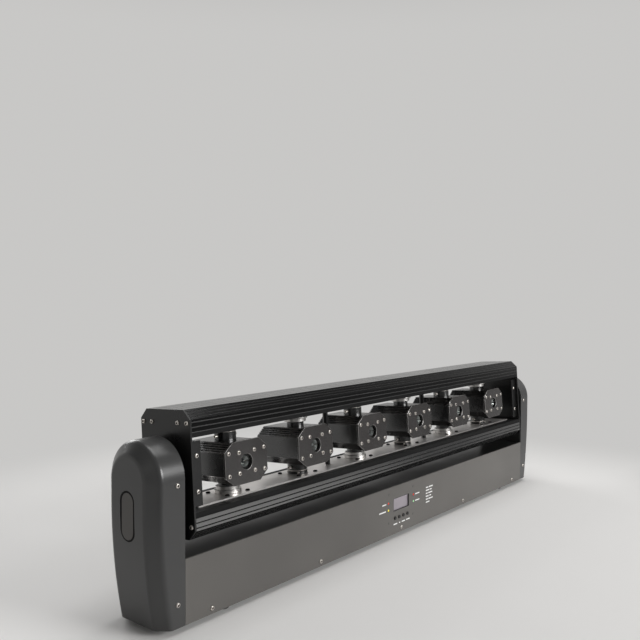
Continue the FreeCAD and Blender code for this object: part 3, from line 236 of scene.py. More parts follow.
def facing(direction):
    """Rotation that turns the Z axis to a direction."""
    return Vector(direction).to_track_quat("Z", "Y").to_matrix().to_4x4()


class Painter:
    """Adds nodes to the tree of a material or a world."""

    def __init__(self, tree):
        self.tree = tree

    def node(self, kind, *sources, **settings):
        """A node with its settings made and its first inputs linked to the sources."""
        made = self.tree.nodes.new(kind)
        for key, value in settings.items():
            setattr(made, key, value)
        for place, source in enumerate(sources):
            self.tree.links.new(source, made.inputs[place])
        return made

    def span(self, source, start, end, low, high, **settings):
        """A range of the source mapped to a range of values."""
        ranged = self.node("ShaderNodeMapRange", source, **settings)
        ranged.inputs["From Min"].default_value = start
        ranged.inputs["From Max"].default_value = end
        ranged.inputs["To Min"].default_value = low
        ranged.inputs["To Max"].default_value = high
        return ranged.outputs["Result"]

    def blend(self, share, first, second):
        """Colour between two tones."""
        mix = self.node("ShaderNodeMix", share, data_type="RGBA")
        tones = [socket for socket in mix.inputs if socket.type == "RGBA"]
        tones[0].default_value = (*first, 1.0)
        tones[1].default_value = (*second, 1.0)
        return next(socket for socket in mix.outputs if socket.type == "RGBA")


# Materials by name, which each finish joins as it is made
finishes = {}

# How patterns are drawn out along each axis, and the middle range of a noise that is used
EVEN = (1.0, 1.0, 1.0)
DRAWN = (0.02, 1.0, 1.0)
ROLLED = (0.03, 1.0, 1.0)
TURNED = (1.0, 1.0, 40.0)
WIPED = (1.0, 1.0, 2.0)
GRID = (1.0, 1.0, 0.6)
NOISE_RANGE = (0.35, 0.65)


class Finish(Painter):
    """A material with the nodes that paint it. Patterns follow each piece's own coordinates, in metres.

    Other sockets of the shader are given by name, with underscores for spaces.
    """

    def __init__(self, name, colour, roughness, metallic=0.0, **others):
        self.material = bpy.data.materials.new(name)
        self.material.use_nodes = True
        super().__init__(self.material.node_tree)
        self.shader = self.tree.nodes["Principled BSDF"]
        self.shader.inputs["Base Color"].default_value = (*colour, 1.0)
        self.shader.inputs["Roughness"].default_value = roughness
        self.shader.inputs["Metallic"].default_value = metallic
        for socket, value in others.items():
            self.shader.inputs[socket.replace("_", " ")].default_value = value
        finishes[name] = self.material

    def noise(self, cells, detail=3.0, stretch=EVEN):
        """Noise of this many cells per metre, drawn out by the stretch of each axis."""
        place = self.node("ShaderNodeTexCoord")
        mapping = self.node("ShaderNodeMapping", place.outputs["Object"])
        mapping.inputs["Scale"].default_value = stretch
        noise = self.node("ShaderNodeTexNoise", mapping.outputs["Vector"])
        noise.inputs["Scale"].default_value = cells
        noise.inputs["Detail"].default_value = detail
        return noise.outputs["Fac"]

    def tint(self, source, first, second):
        """Base colour between two tones."""
        share = self.span(source, *NOISE_RANGE, 0.0, 1.0)
        self.tree.links.new(self.blend(share, first, second), self.shader.inputs["Base Color"])

    def gloss(self, source, low, high):
        """Roughness between two values."""
        value = self.span(source, *NOISE_RANGE, low, high)
        self.tree.links.new(value, self.shader.inputs["Roughness"])

    def relief(self, source, depth, strength):
        """Bump of a real depth in metres."""
        bump = self.node("ShaderNodeBump")
        bump.inputs["Strength"].default_value = strength
        bump.inputs["Distance"].default_value = depth
        self.tree.links.new(source, bump.inputs["Height"])
        self.tree.links.new(bump.outputs["Normal"], self.shader.inputs["Normal"])


def grey(tone):
    """A colour without hue."""
    return (tone, tone, tone)


def anodised(name, colour, lighter, roughness, lines=DRAWN, ior=1.85):
    """Black anodised aluminium with fine draw lines along the extrusion."""
    finish = Finish(name, colour, sum(roughness) / 2, IOR=ior)
    finish.tint(finish.noise(cells=9.0), colour, lighter)
    finish.gloss(finish.noise(cells=14.0, detail=4.0), *roughness)
    finish.relief(finish.noise(cells=900.0, detail=2.0, stretch=lines), depth=0.0008 * MM, strength=0.3)


def powder_coat(name, colour, lighter, roughness, ior=1.5):
    """Satin powder coat with its fine orange peel and the wipe marks of handling."""
    finish = Finish(name, colour, sum(roughness) / 2, IOR=ior)
    finish.tint(finish.noise(cells=5.0, detail=2.0), colour, lighter)
    finish.gloss(finish.noise(cells=8.0, detail=2.0, stretch=WIPED), *roughness)
    finish.relief(finish.noise(cells=600.0, detail=2.0), depth=0.003 * MM, strength=0.3)


def moulded(name, colour, lighter, roughness, grain=0.006 * MM):
    """Moulded plastic with a fine spark-eroded grain."""
    finish = Finish(name, colour, sum(roughness) / 2, IOR=1.5)
    finish.tint(finish.noise(cells=9.0, detail=2.0), colour, lighter)
    finish.gloss(finish.noise(cells=6.0, detail=2.0), *roughness)
    finish.relief(finish.noise(cells=900.0, detail=2.0), depth=grain, strength=0.4)


def metal(name, colour, lighter, roughness, lines=EVEN, cells=900.0, metallic=1.0):
    """Bare metal whose tool or rolling lines run along the drawn-out axis."""
    finish = Finish(name, colour, sum(roughness) / 2, metallic)
    finish.tint(finish.noise(cells=40.0), colour, lighter)
    finish.gloss(finish.noise(cells=60.0, detail=4.0), *roughness)
    finish.relief(finish.noise(cells, stretch=lines), depth=0.004 * MM, strength=0.3)


def glass(name, colour, roughness):
    """Clear glass with the faintest film on it."""
    finish = Finish(name, colour, min(roughness), IOR=1.5, Transmission_Weight=1.0)
    finish.gloss(finish.noise(cells=30.0, detail=4.0), *roughness)


def screen(name, colour, lighter, roughness):
    """Liquid crystal display: an even pale field under glass, with the faint grid of its cells."""
    finish = Finish(name, colour, sum(roughness) / 2, IOR=1.5, Coat_Weight=0.6, Coat_Roughness=0.04)
    finish.tint(finish.noise(cells=30.0), colour, lighter)
    finish.gloss(finish.noise(cells=900.0, detail=1.0, stretch=GRID), *roughness)


def dome(name, colour, lighter, roughness=(0.1, 0.22)):
    """Tinted plastic of a dimly lit indicator."""
    glow = (*colour, 1.0)
    finish = Finish(name, colour, sum(roughness) / 2, IOR=1.5, Emission_Color=glow, Emission_Strength=0.3)
    finish.tint(finish.noise(cells=600.0), colour, lighter)
    finish.gloss(finish.noise(cells=900.0), *roughness)


# Finishes: darker tone, lighter tone and range of roughness
powder_coat("black_sheet", grey(0.008), grey(0.012), (0.30, 0.42), ior=1.4)
powder_coat("panel_grey", (0.096, 0.091, 0.085), (0.120, 0.114, 0.106), (0.28, 0.38), ior=1.42)
moulded("cover_plastic", grey(0.040), (0.046, 0.046, 0.0455), (0.27, 0.31), grain=0.002 * MM)
anodised("black_anodised", grey(0.003), grey(0.004), (0.15, 0.19), ior=1.35)
anodised("bright_anodised", grey(0.005), grey(0.008), (0.12, 0.17), ior=2.6)
anodised("satin_anodised", grey(0.007), grey(0.010), (0.26, 0.36), lines=EVEN, ior=1.45)
anodised("plate_anodised", (0.022, 0.020, 0.019), (0.028, 0.025, 0.024), (0.19, 0.26), lines=EVEN)
# Lighter grey in the grooves of the upper rail: painted highlight of the light that the groove walls catch
anodised("groove_highlight_grey", (0.024, 0.0235, 0.023), (0.032, 0.0315, 0.031), (0.38, 0.48), ior=1.5)
moulded("insert_plate", (0.046, 0.041, 0.036), (0.053, 0.048, 0.042), (0.27, 0.31), grain=0.002 * MM)
moulded("gloss_black", grey(0.005), grey(0.007), (0.12, 0.18), grain=0.001 * MM)
powder_coat("dull_black", grey(0.010), grey(0.014), (0.50, 0.65), ior=1.15)
metal("cell_aluminium", (0.22, 0.225, 0.22), (0.27, 0.275, 0.27), (0.30, 0.40))
# Light metal on the broken edges of the head front plates: a painted highlight along the edges
metal("plate_edge_highlight", (0.34, 0.33, 0.32), (0.42, 0.41, 0.40), (0.30, 0.42))
anodised("head_black", grey(0.005), (0.009, 0.009, 0.008), (0.18, 0.28))
metal("bare_aluminium", (0.74, 0.71, 0.69), (0.80, 0.77, 0.75), (0.30, 0.38), lines=ROLLED, metallic=0.9)
metal("bright_steel", (0.62, 0.58, 0.54), (0.72, 0.68, 0.63), (0.26, 0.38), metallic=0.8)
metal("motor_steel", (0.58, 0.57, 0.55), (0.66, 0.64, 0.62), (0.34, 0.42), lines=TURNED, cells=60.0)
powder_coat("motor_black", (0.012, 0.012, 0.013), (0.020, 0.020, 0.021), (0.40, 0.55))
moulded("rubber_black", grey(0.013), grey(0.020), (0.60, 0.78), grain=0.03 * MM)
glass("window_glass", (0.93, 0.96, 0.95), (0.0, 0.05))
moulded("lens_glass", (0.010, 0.013, 0.014), (0.014, 0.018, 0.019), (0.05, 0.10), grain=0.001 * MM)
screen("display", (0.25, 0.225, 0.25), (0.28, 0.25, 0.28), (0.1, 0.2))
powder_coat("circuit_board", (0.012, 0.050, 0.022), (0.018, 0.066, 0.030), (0.30, 0.45))
dome("red_indicator", (0.60, 0.045, 0.030), (0.68, 0.060, 0.040))
dome("yellow_indicator", (0.74, 0.64, 0.045), (0.80, 0.70, 0.060))
dome("green_indicator", (0.34, 0.66, 0.34), (0.40, 0.72, 0.40))
moulded("button_black", grey(0.010), grey(0.015), (0.32, 0.46))
moulded("socket_black", (0.014, 0.014, 0.015), (0.020, 0.020, 0.021), (0.36, 0.52))
metal("supply_case", (0.55, 0.56, 0.56), (0.63, 0.64, 0.64), (0.32, 0.46))
powder_coat("printed_white", (0.78, 0.78, 0.77), (0.84, 0.84, 0.83), (0.45, 0.60))
powder_coat("stud_grey", (0.070, 0.067, 0.062), (0.082, 0.079, 0.073), (0.34, 0.46))
# Dark brown in the screw sockets and on the floor of the lens cells: painted shade
powder_coat("painted_recess_shade", (0.042, 0.024, 0.016), (0.060, 0.036, 0.024), (0.40, 0.55))


def body_of(node):
    """The body that a solid of the frame rides on."""
    for body, members in frame["record"]["behaviour"]["bodies"].items():
        if node in members:
            return body
    raise ValueError(f"no body holds {node}")


def joined_form(node):
    """The mesh of a solid with its split edges joined."""
    form = bmesh.new()
    form.from_mesh(frame["nodes"][node].data)
    bmesh.ops.remove_doubles(form, verts=form.verts, dist=JOINED_GAP)
    return form


def islands(form):
    """The faces of each separate solid in a form, in the order of their first faces."""
    seen = set()
    groups = []
    for first in form.faces:
        if first in seen:
            continue
        seen.add(first)
        group = [first]
        for face in group:
            for edge in face.edges:
                for other in edge.link_faces:
                    if other not in seen:
                        seen.add(other)
                        group.append(other)
        groups.append(group)
    return groups


def points_of(group):
    """The corners of a group of faces."""
    return [vert.co for face in group for vert in face.verts]


def box_of(points):
    """Opposite corners of the box round some points."""
    low = Vector([min(point[axis] for point in points) for axis in range(3)])
    high = Vector([max(point[axis] for point in points) for axis in range(3)])
    return low, high


def add_piece(name, form, body, slot, *looks):
    """A piece from a bmesh form, riding on a body, with the finishes that its faces number."""
    mesh = bpy.data.meshes.new(name)
    bmesh.ops.recalc_face_normals(form, faces=form.faces)
    form.to_mesh(mesh)
    form.free()
    for look in looks:
        mesh.materials.append(finishes[look])
    mesh.shade_smooth()
    mesh.set_sharp_from_angle(angle=SHARP_ANGLE)
    piece = bpy.data.objects.new(name, mesh)
    bpy.context.scene.collection.objects.link(piece)
    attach(piece, body)
    return piece


def add_screws(name, form, body):
    """Bright screws with painted shade in their sockets."""
    return add_piece(name, form, body, "bright_steel", "bright_steel", "painted_recess_shade")


def flatten_normals(piece):
    """Shading that keeps flats flat beside rounded edges."""
    weighted = piece.modifiers.new("normals", "WEIGHTED_NORMAL")
    weighted.keep_sharp = True
    weighted.weight = 100


def break_edges(piece, width, segments, edge_material):
    """Rounds every edge of a piece by a small width."""
    bevel = piece.modifiers.new("edges", "BEVEL")
    bevel.width = width
    bevel.segments = segments
    bevel.limit_method = "ANGLE"
    bevel.angle_limit = BROKEN_ANGLE
    bevel.miter_outer = "MITER_ARC"
    bevel.material = edge_material


def refined(node, slot, edge=0.3 * MM, segments=2, finish=None, edge_finish=None):
    """A copy of a solid with joined faces and broken edges, in the solid's place."""
    form = joined_form(node)
    bmesh.ops.dissolve_limit(form, angle_limit=FLAT_ANGLE, verts=form.verts, edges=form.edges)
    looks = [finish or slot]
    if edge_finish:
        looks.append(edge_finish)
    piece = add_piece(f"{node}_finished", form, body_of(node), slot, *looks)
    break_edges(piece, edge, segments, 1 if edge_finish else -1)
    flatten_normals(piece)
    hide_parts(node)
    return piece


def dress_rail(rail, groove):
    """Dull black on the inner face and lip of a rail, and a finish of their own in its grooves: painted highlight
    where it is grey.
    """
    rail.data.materials.append(finishes["dull_black"])
    rail.data.materials.append(finishes[groove])
    level = TILTED.inverted()
    for face in rail.data.polygons:
        spot = level @ face.center
        side = RAIL_HALF_DEPTH - abs(spot.y)
        flat = RAIL_OUTER - abs(spot.z)
        depth = min(side, flat, (side + flat - RAIL_CHAMFER) / math.sqrt(2))
        if abs(spot.z) < RAIL_INNER + RAIL_LIP:
            face.material_index = 1
        elif GROOVE_START < depth < GROOVE_END and abs(face.normal.x) < END_FACE_LEAN:
            face.material_index = 2


def painted(node, finish):
    """A solid that stays as it is, with a finish on it."""
    for slot in frame["nodes"][node].material_slots:
        slot.material = finishes[finish]


def polar(radius, turn, height):
    """A point at an angle round the Z axis."""
    return Vector((radius * math.cos(turn), radius * math.sin(turn), height))


def circle(radius, height):
    """Points of a ring round the Z axis."""
    return [polar(radius, 2 * math.pi * step / ROUND, height) for step in range(ROUND)]


def hexagon(corner, height):
    """Points of a hexagonal ring round the Z axis."""
    points = []
    for step in range(ROUND):
        turn = 2 * math.pi * step / ROUND
        within = turn % (math.pi / 3) - math.pi / 6
        points.append(polar(corner * math.cos(math.pi / 6) / math.cos(within), turn, height))
    return points


def stadium(half_width, half_height, height):
    """Points of a ring of two half circles joined by straight sides along the Y axis."""
    shift = half_height - half_width
    points = []
    for step in range(ROUND):
        turn = 2 * math.pi * (step + 0.5) / ROUND
        rise = shift if math.sin(turn) > 0 else -shift
        points.append(Vector((half_width * math.cos(turn), half_width * math.sin(turn) + rise, height)))
    return points


def stack(form, place, rings, inner_from=None):
    """A closed skin through rings, capped at both ends, in the second finish from a ring on."""
    loops = [[form.verts.new(place @ point) for point in ring] for ring in rings]
    for level, (below, above) in enumerate(zip(loops, loops[1:])):
        for step in range(ROUND):
            after = (step + 1) % ROUND
            face = form.faces.new((below[step], below[after], above[after], above[step]))
            if inner_from is not None and level >= inner_from:
                face.material_index = 1
    form.faces.new(list(reversed(loops[0])))
    last = form.faces.new(loops[-1])
    if inner_from is not None:
        last.material_index = 1


def socket_screw(form, place, radius, height, shank=None, length=None):
    """Button head with a hexagon socket on the plane Z = 0 of its place, with an optional shank."""
    corner = BUTTON_CORNER * radius
    rings = []
    if shank:
        rings = [circle(shank, -length), circle(shank, 0.0)]
    rings += [circle(wide * radius, up * height) for wide, up in BUTTON_HEAD]
    rings += [hexagon(wide * corner, up * height) for wide, up in BUTTON_SOCKET]
    stack(form, place, rings, inner_from=len(rings) - 2)


def cap_screw(form, place, radius, height, collar):
    """Cylindrical cap with a hexagon socket, on a collar on the plane Z = 0 of its place."""
    corner = CAP_CORNER * radius
    top = collar + height
    rings = [
        circle(COLLAR_SHARE * radius, -COLLAR_SINK),
        circle(COLLAR_SHARE * radius, collar),
        circle(radius, collar),
        circle(radius, top - CAP_CHAMFER * height),
        circle(CAP_TOP * radius, top),
        hexagon(corner, top),
        hexagon(corner, top - CAP_SOCKET * height),
    ]
    stack(form, place, rings, inner_from=len(rings) - 2)


def slab(form, corner, opposite):
    """A box between two opposite corners."""
    sides = [abs(side) for side in opposite - corner]
    place = Matrix.Translation((corner + opposite) / 2)
    bmesh.ops.create_cube(form, size=1.0, matrix=place @ Matrix.Diagonal((*sides, 1.0)))


def half_ring(form, place, profile, slot, turn):
    """Half of a turned ring, ended by the two sides of a straight slot across it."""
    sections = []
    for step in range(ROUND + 1):
        section = []
        for radius, height in profile:
            start = math.asin(slot / 2 / radius)
            angle = turn + start + (math.pi - 2 * start) * step / ROUND
            section.append(form.verts.new(place @ polar(radius, angle, height)))
        sections.append(section)
    corners = len(profile)
    for here, there in zip(sections, sections[1:]):
        for corner in range(corners):
            after = (corner + 1) % corners
            form.faces.new((here[corner], here[after], there[after], there[corner]))
    form.faces.new(sections[0])
    form.faces.new(list(reversed(sections[-1])))


def off_axis(offset, axis):
    """Square of the distance of a point from an axis through the origin."""
    return offset.length_squared - offset[axis] ** 2


def screw_axis(offsets):
    """The axis that the points of a screw lie closest round."""
    reaches = [max(off_axis(offset, axis) for offset in offsets) for axis in range(3)]
    return reaches.index(min(reaches))


def screw_places(node, axes):
    """Where each screw of a group stands, Z outwards from its head's seat, and its shank's length."""
    form = joined_form(node)
    inward = axes.inverted()
    places = []
    for group in islands(form):
        points = [inward @ point for point in points_of(group)]
        low, high = box_of(points)
        middle = (low + high) / 2
        offsets = [point - middle for point in points]
        along = screw_axis(offsets)
        rim = [offset[along] for offset in offsets if off_axis(offset, along) > SCREW_RIM ** 2]
        out = 1.0 if sum(rim) > 0 else -1.0
        seat = middle.copy()
        seat[along] = (high[along] if out > 0 else low[along]) - out * SCREW_HEIGHT
        direction = Vector((0.0, 0.0, 0.0))
        direction[along] = out
        length = high[along] - low[along] - SCREW_HEIGHT
        places.append((axes @ Matrix.Translation(seat) @ facing(direction), length))
    form.free()
    return places


def screw_group(node, axes):
    """Detailed screws in the place of a group of plain ones."""
    form = bmesh.new()
    for place, length in screw_places(node, axes):
        socket_screw(form, place, SCREW_RADIUS, SCREW_HEIGHT, SCREW_SHANK, length)
    piece = add_screws(f"{node}_finished", form, body_of(node))
    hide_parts(node)


# Solids that show, with broken edges
for side in ("left", "right"):
    refined(f"{side}_end_plate", "black_anodised", finish="satin_anodised")
    refined(f"{side}_hub_bracket", "black_anodised", edge=0.4 * MM, segments=3, finish="satin_anodised")
refined("front_panel", "panel_grey", edge=0.4 * MM, segments=3)
refined("top_cover", "black_sheet")
refined("base_chassis", "black_sheet")
refined("rubber_feet", "rubber_black", edge=1.0 * MM, segments=3)
upper_rail = refined("upper_rail", "black_anodised", edge=0.18 * MM)
# The upper rail's grooves carry a painted highlight in lighter grey
dress_rail(upper_rail, "groove_highlight_grey")
lower_rail = refined("lower_rail", "black_anodised", edge=0.18 * MM, finish="bright_anodised")
dress_rail(lower_rail, "dull_black")
refined("pan_motors", "motor_steel", edge=0.5 * MM, segments=3)
refined("pan_bearings", "bright_steel", finish="satin_anodised")
refined("power_sockets", "socket_black", edge=0.25 * MM)
refined("data_sockets", "socket_black", edge=0.25 * MM)
refined("fuse_holder", "socket_black")
for number in HEADS:
    refined(f"head_{number}_housing", "head_black", edge=0.15 * MM)
    # Front plates with light metal on their broken edges, a painted highlight
    refined(
        f"head_{number}_front_plate",
        "head_black",
        edge=0.4 * MM,
        finish="plate_anodised",
        edge_finish="plate_edge_highlight",
    )
for number in BUTTONS:
    refined(f"menu_button_{number}", "button_black", segments=3)
screw_group("case_screws", Matrix.Identity(4))
screw_group("frame_screws", TILTED)

# Trays of bare aluminium with the black posts between them
trays = refined("mounting_trays", "bare_aluminium", edge=0.2 * MM)
trays.data.materials.append(finishes["satin_anodised"])
form = bmesh.new()
form.from_mesh(trays.data)
for group in islands(form):
    low, high = box_of(points_of(group))
    if high.x - low.x < POST_LIMIT:
        for face in group:
            face.material_index = 1
form.to_mesh(trays.data)
form.free()

# Indicators: the upper ones red, the lower left one yellow and the lower right one green
RED, YELLOW, GREEN = range(3)
form = joined_form("indicator_leds")
for group in islands(form):
    low, high = box_of(points_of(group))
    spot = (low + high) / 2
    colour = YELLOW if spot.x < 0 else GREEN
    if spot.z - panel_low.z > INDICATOR_MIDDLE:
        colour = RED
    for face in group:
        face.material_index = colour
leds = add_piece(
    "indicator_leds_finished",
    form,
    "base",
    "indicator",
    "red_indicator",
    "yellow_indicator",
    "green_indicator",
)
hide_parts("indicator_leds")

# Solids that stay as they are
STAY = {
    "left_end_cover": "cover_plastic",
    "right_end_cover": "cover_plastic",
    "display_screen": "display",
    "control_board": "circuit_board",
    "power_supply": "supply_case",
    "left_side_arm": "black_sheet",
    "right_side_arm": "black_sheet",
    "tilt_bearings": "bright_steel",
    "tilt_motor": "motor_black",
    "tilt_belt": "rubber_black",
    "motor_pulley": "bare_aluminium",
    "tilt_pulley": "bare_aluminium",
    "tilt_shafts": "bright_steel",
}
for node, finish in STAY.items():
    painted(node, finish)
for number in HEADS:
    painted(f"head_{number}_window", "window_glass")


def plate_screws(number):
    """Eight screws on the front plate of a head."""
    form = bmesh.new()
    plate = head_place(number) @ Matrix.Translation((0, -HEAD_FRONT, 0)) @ FACING_FRONT
    for spot in (OUTER_SCREW, INNER_SCREW):
        for across in (-1, 1):
            for up in (-1, 1):
                place = plate @ Matrix.Translation((across * spot.x, up * spot.y, 0))
                socket_screw(form, place, PLATE_SCREW_RADIUS, PLATE_SCREW_HEIGHT)
    add_screws(f"head_{number}_plate_screws", form, f"laser_head_{number}")


def lens_cell(number):
    """Laser module with its slotted lens cell, a funnel of two halves round a small lens."""
    form = bmesh.new()
    front = head_place(number) @ Matrix.Translation((0, -CELL_FRONT, 0)) @ FACING_FRONT
    profile = [
        (CELL_RADIUS, -CELL_FLOOR),
        (CELL_RADIUS, -CELL_SINK),
        (CELL_MOUTH, -CELL_SINK),
        (CELL_BORE, -CELL_FUNNEL),
        (CELL_BORE, -CELL_FLOOR),
    ]
    for turn in (0.0, math.pi):
        half_ring(form, front, profile, CELL_SLOT, turn)
    back = -CELL_DEPTH - BARREL_LENGTH
    barrel = [
        circle(BARREL_RADIUS - BARREL_CHAMFER, back),
        circle(BARREL_RADIUS, back + BARREL_CHAMFER),
        circle(BARREL_RADIUS, -CELL_DEPTH),
        circle(CELL_RADIUS, -CELL_DEPTH),
        circle(CELL_RADIUS, -CELL_FLOOR),
    ]
    stack(form, front, barrel, inner_from=len(barrel) - 2)
    seat = front @ Matrix.Translation((0, 0, -CELL_FLOOR)) @ Matrix.Diagonal((*LENS_SHAPE, 1.0))
    lens = bmesh.ops.create_uvsphere(
        form, u_segments=LENS_SEGMENTS, v_segments=LENS_RINGS, radius=CELL_BORE, matrix=seat
    )
    for face in {face for vert in lens["verts"] for face in vert.link_faces}:
        face.material_index = 2
    # The floor of the cell and the wall round it are painted dark as shade
    piece = add_piece(
        f"head_{number}_lens_cell",
        form,
        f"laser_head_{number}",
        "laser_brass",
        "cell_aluminium",
        "painted_recess_shade",
        "lens_glass",
    )
    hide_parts(f"head_{number}_laser_module")


def tray_screws(number):
    """Black button screws round the pan axis of a head, in both trays."""
    form = bmesh.new()
    for up in (-1, 1):
        for across in (-TRAY_SCREW, TRAY_SCREW):
            for deep in (-TRAY_SCREW, TRAY_SCREW):
                seat = Matrix.Translation((across, deep, up * TRAY_FACE)) @ facing((0, 0, -up))
                socket_screw(
                    form,
                    head_place(number) @ seat,
                    TRAY_SCREW_RADIUS,
                    TRAY_SCREW_HEIGHT,
                    TRAY_SHANK_RADIUS,
                    TRAY_SHANK_LENGTH,
                )
    # Their sockets are painted dark as shade
    add_piece(f"tray_screws_{number}", form, "tilt_frame", "black_anodised", "dull_black", "painted_recess_shade")


def free_side(number):
    """Stop screws in the hub on a head's free side, and the set screws and race of the bearing there.

    The free side is the upper one of odd heads and the lower one of even ones.
    """
    axes = head_place(number)
    free = 1 if number % 2 else -1
    hub = bmesh.new()
    for side in (-1, 1):
        spot = Matrix.Translation((side * HUB_RADIUS, 0, free * HUB_SCREW_LEVEL))
        place = axes @ spot @ facing((side, 0, 0))
        cap_screw(hub, place, HUB_SCREW_RADIUS, HUB_SCREW_HEIGHT, HUB_COLLAR)
    add_screws(f"head_{number}_stop_screws", hub, f"laser_head_{number}")
    block = bmesh.new()
    level = free * (TRAY_FACE - BLOCK_HEIGHT / 2)
    for step in range(BLOCK_SCREWS):
        out = polar(1.0, 2 * math.pi * (step + 0.5) / BLOCK_SCREWS, 0.0)
        place = axes @ Matrix.Translation(HUB_RADIUS * out + Vector((0, 0, level))) @ facing(out)
        socket_screw(block, place, BLOCK_SCREW_RADIUS, BLOCK_SCREW_HEIGHT)
    race = axes @ Matrix.Translation((0, 0, free * (TRAY_FACE - BLOCK_HEIGHT))) @ facing((0, 0, -free))
    race_top = RUNNING_GAP - RACE_CLEARANCE
    stack(block, race, [
        circle(RACE_OUTER, RACE_CLEARANCE),
        circle(RACE_OUTER, race_top),
        circle(RACE_INNER, race_top),
        circle(RACE_INNER, RACE_CLEARANCE),
    ])
    add_screws(f"pan_bearing_{number}_fixings", block, "tilt_frame")


for number in HEADS:
    plate_screws(number)
for number in HEADS:
    lens_cell(number)
    tray_screws(number)
    free_side(number)

# Studs in the control panel
form = bmesh.new()
for side in (-1, 1):
    for level in STUD_LEVELS:
        place = Matrix.Translation((side * STUD_X, panel_low.y, panel_low.z + level)) @ FACING_FRONT
        stack(form, place, [
            circle(STUD_RADIUS, -STUD_SINK),
            circle(STUD_RADIUS, STUD_PROUD / 2),
            circle(STUD_TOP, STUD_PROUD),
        ])
add_piece("panel_studs", form, "base", "panel_grey", "stud_grey")

# Plain printed dashes on the control panel
form = bmesh.new()
for left, right, level in PANEL_MARKS:
    low = Vector((left, panel_low.y - MARK_PROUD, panel_low.z + level - MARK_HEIGHT / 2))
    high = Vector((right, panel_low.y + MARK_PROUD, panel_low.z + level + MARK_HEIGHT / 2))
    slab(form, low, high)
add_piece("panel_marks", form, "base", "panel_grey", "printed_white")

# Black sheet on the walls of the display window: painted shade
form = bmesh.new()
middle = Vector((0.0, 0.0, panel_low.z + WINDOW_MIDDLE))
near = panel_low.y + WINDOW_SHADE_SINK
far = panel_low.y + WINDOW_DEPTH - WINDOW_SHADE_SINK
inner_width = WINDOW_HALF_WIDTH - WINDOW_SHADE_THICKNESS
inner_height = WINDOW_HALF_HEIGHT - WINDOW_SHADE_THICKNESS
for side in (-1, 1):
    slab(
        form,
        middle + Vector((side * WINDOW_HALF_WIDTH, near, -WINDOW_HALF_HEIGHT)),
        middle + Vector((side * inner_width, far, WINDOW_HALF_HEIGHT)),
    )
    slab(
        form,
        middle + Vector((-inner_width, near, side * WINDOW_HALF_HEIGHT)),
        middle + Vector((inner_width, far, side * inner_height)),
    )
add_piece("display_window_shade", form, "base", "button_black", "gloss_black")

# Plain inserts in the end covers, a plate inside a rim of painted shade
for name, side in (("left", -1), ("right", 1)):
    low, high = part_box(f"{name}_end_cover")
    face = high.x if side > 0 else low.x
    place = Matrix.Translation((face, 0, INSERT_MIDDLE)) @ facing((side, 0, 0))
    plate_size = (INSERT_HALF_WIDTH - SHADE_RIM, INSERT_HALF_HEIGHT - SHADE_RIM)
    form = bmesh.new()
    rings = [
        stadium(INSERT_HALF_WIDTH, INSERT_HALF_HEIGHT, -INSERT_DEPTH),
        stadium(INSERT_HALF_WIDTH, INSERT_HALF_HEIGHT, -SHADE_RIM_DEPTH),
        stadium(*plate_size, -SHADE_RIM_DEPTH),
        stadium(*plate_size, -INSERT_SINK),
    ]
    stack(form, place, rings, inner_from=len(rings) - 2)
    add_piece(f"{name}_cover_insert", form, "base", "cover_plastic", "dull_black", "insert_plate")

# Flange screws of the rear sockets
form = bmesh.new()
for node in ("power_sockets", "data_sockets"):
    low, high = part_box(node)
    level = (low.z + high.z) / 2
    for across in (low.x + FLANGE_HALF_WIDTH, high.x - FLANGE_HALF_WIDTH):
        for corner in (-1, 1):
            spot = (across + corner * FLANGE_SCREW.x, high.y, level - corner * FLANGE_SCREW.y)
            place = Matrix.Translation(spot) @ FACING_BACK
            socket_screw(form, place, FLANGE_SCREW_RADIUS, PLATE_SCREW_HEIGHT)
add_screws("socket_screws", form, "base")

# Stage: a pale floor, and a backdrop that is pale low down at the back and sides and grey elsewhere
FLOOR_PALE = (0.80, 0.79, 0.775)
FLOOR_ROUGHNESS = 0.7
FLOOR_FAR = (0.5, 1.0)
FLOOR_RADIUS = 60.0
FLOOR_SEGMENTS = 96
BACKDROP_WAY = (0.05, 0.9987, 0.0)
BACKDROP_SIDES = (-0.47, -0.17)
BACKDROP_HEIGHTS = (0.62, 0.32)
BACKDROP_PALE = (0.58, 0.575, 0.565)
BACKDROP_GREY = grey(0.16)


class Stage(Painter):
    """The nodes of the backdrop's colour, in the tree of a floor or a world."""

    def ramp(self, source, start, end):
        """Smooth step from 0 to 1 as the source goes up or down from one value to another."""
        if start < end:
            return self.span(source, start, end, 0.0, 1.0, interpolation_type="SMOOTHSTEP")
        return self.span(source, end, start, 1.0, 0.0, interpolation_type="SMOOTHSTEP")

    def backdrop(self, way):
        """Colour of the backdrop in a direction."""
        ahead = self.node("ShaderNodeVectorMath", way, operation="DOT_PRODUCT")
        ahead.inputs[1].default_value = BACKDROP_WAY
        parts = self.node("ShaderNodeSeparateXYZ", way)
        behind = self.ramp(ahead.outputs["Value"], *BACKDROP_SIDES)
        low = self.ramp(parts.outputs["Z"], *BACKDROP_HEIGHTS)
        share = self.node("ShaderNodeMath", behind, low, operation="MULTIPLY")
        return self.blend(share.outputs["Value"], BACKDROP_GREY, BACKDROP_PALE)


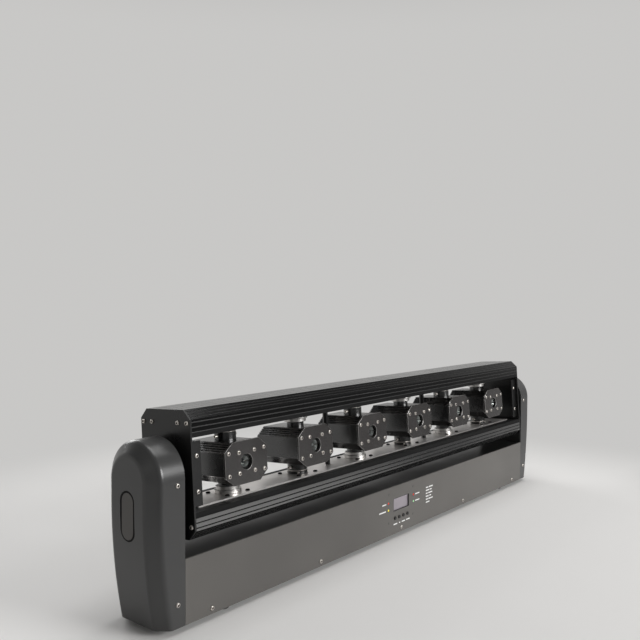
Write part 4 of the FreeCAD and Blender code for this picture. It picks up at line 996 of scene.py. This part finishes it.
def stage_floor():
    """Pale floor that runs into the backdrop far out."""
    mesh = bpy.data.meshes.new("floor")
    form = bmesh.new()
    bmesh.ops.create_circle(form, cap_ends=True, radius=FLOOR_RADIUS, segments=FLOOR_SEGMENTS)
    form.to_mesh(mesh)
    form.free()
    floor = bpy.data.objects.new("floor", mesh)
    bpy.context.scene.collection.objects.link(floor)
    finish = Finish("floor", FLOOR_PALE, FLOOR_ROUGHNESS)
    stage = Stage(finish.tree)
    place = stage.node("ShaderNodeTexCoord").outputs["Object"]
    way = stage.node("ShaderNodeVectorMath", place, operation="NORMALIZE").outputs["Vector"]
    glow = stage.node("ShaderNodeEmission", stage.backdrop(way)).outputs["Emission"]
    reach = stage.node("ShaderNodeVectorMath", place, operation="LENGTH").outputs["Value"]
    far_out = stage.ramp(reach, *FLOOR_FAR)
    both = stage.node("ShaderNodeMixShader", far_out, finish.shader.outputs["BSDF"], glow)
    surface = finish.tree.nodes["Material Output"].inputs["Surface"]
    finish.tree.links.new(both.outputs["Shader"], surface)
    mesh.materials.append(finish.material)


def studio_world():
    """The backdrop all round."""
    world = bpy.data.worlds.new("studio")
    bpy.context.scene.world = world
    world.use_nodes = True
    stage = Stage(world.node_tree)
    way = stage.node("ShaderNodeTexCoord").outputs["Generated"]
    colour = world.node_tree.nodes["Background"].inputs["Color"]
    world.node_tree.links.new(stage.backdrop(way), colour)


def soft_lamp(name, place, aim, size, power):
    """A softbox that points at a place."""
    lamp = bpy.data.lights.new(name, "AREA")
    lamp.shape = "RECTANGLE"
    lamp.size, lamp.size_y = size
    lamp.energy = power
    fixture = bpy.data.objects.new(name, lamp)
    fixture.location = place
    fixture.rotation_mode = "QUATERNION"
    fixture.rotation_quaternion = (Vector(aim) - Vector(place)).to_track_quat("-Z", "Y")
    bpy.context.scene.collection.objects.link(fixture)


stage_floor()
studio_world()
soft_lamp("overhead", place=(0.3, -0.1, 2.1), aim=(0.3, -0.1, 0.0), size=(1.6, 1.2), power=19.0)
soft_lamp("front", place=(1.2, -4.0, 1.5), aim=(-0.1, 0.0, 0.1), size=(2.2, 1.4), power=150.0)
soft_lamp("back", place=(0.3, 2.6, 1.4), aim=(0.1, 0.2, 0.1), size=(1.8, 0.8), power=27.0)

camera = bpy.data.cameras.new("camera")
camera.lens = CAMERA_LENS
camera.sensor_width = CAMERA_SENSOR
camera.clip_end = CAMERA_REACH
viewer = bpy.data.objects.new("camera", camera)
viewer.matrix_world = (
    Matrix.Translation(CAMERA_PLACE)
    @ Matrix.Rotation(-CAMERA_YAW, 4, "Z")
    @ Matrix.Rotation(math.pi / 2 - CAMERA_PITCH, 4, "X")
    @ Matrix.Rotation(CAMERA_ROLL, 4, "Z")
)
bpy.context.scene.collection.objects.link(viewer)
bpy.context.scene.camera = viewer
bpy.context.scene.view_settings.view_transform = "Standard"
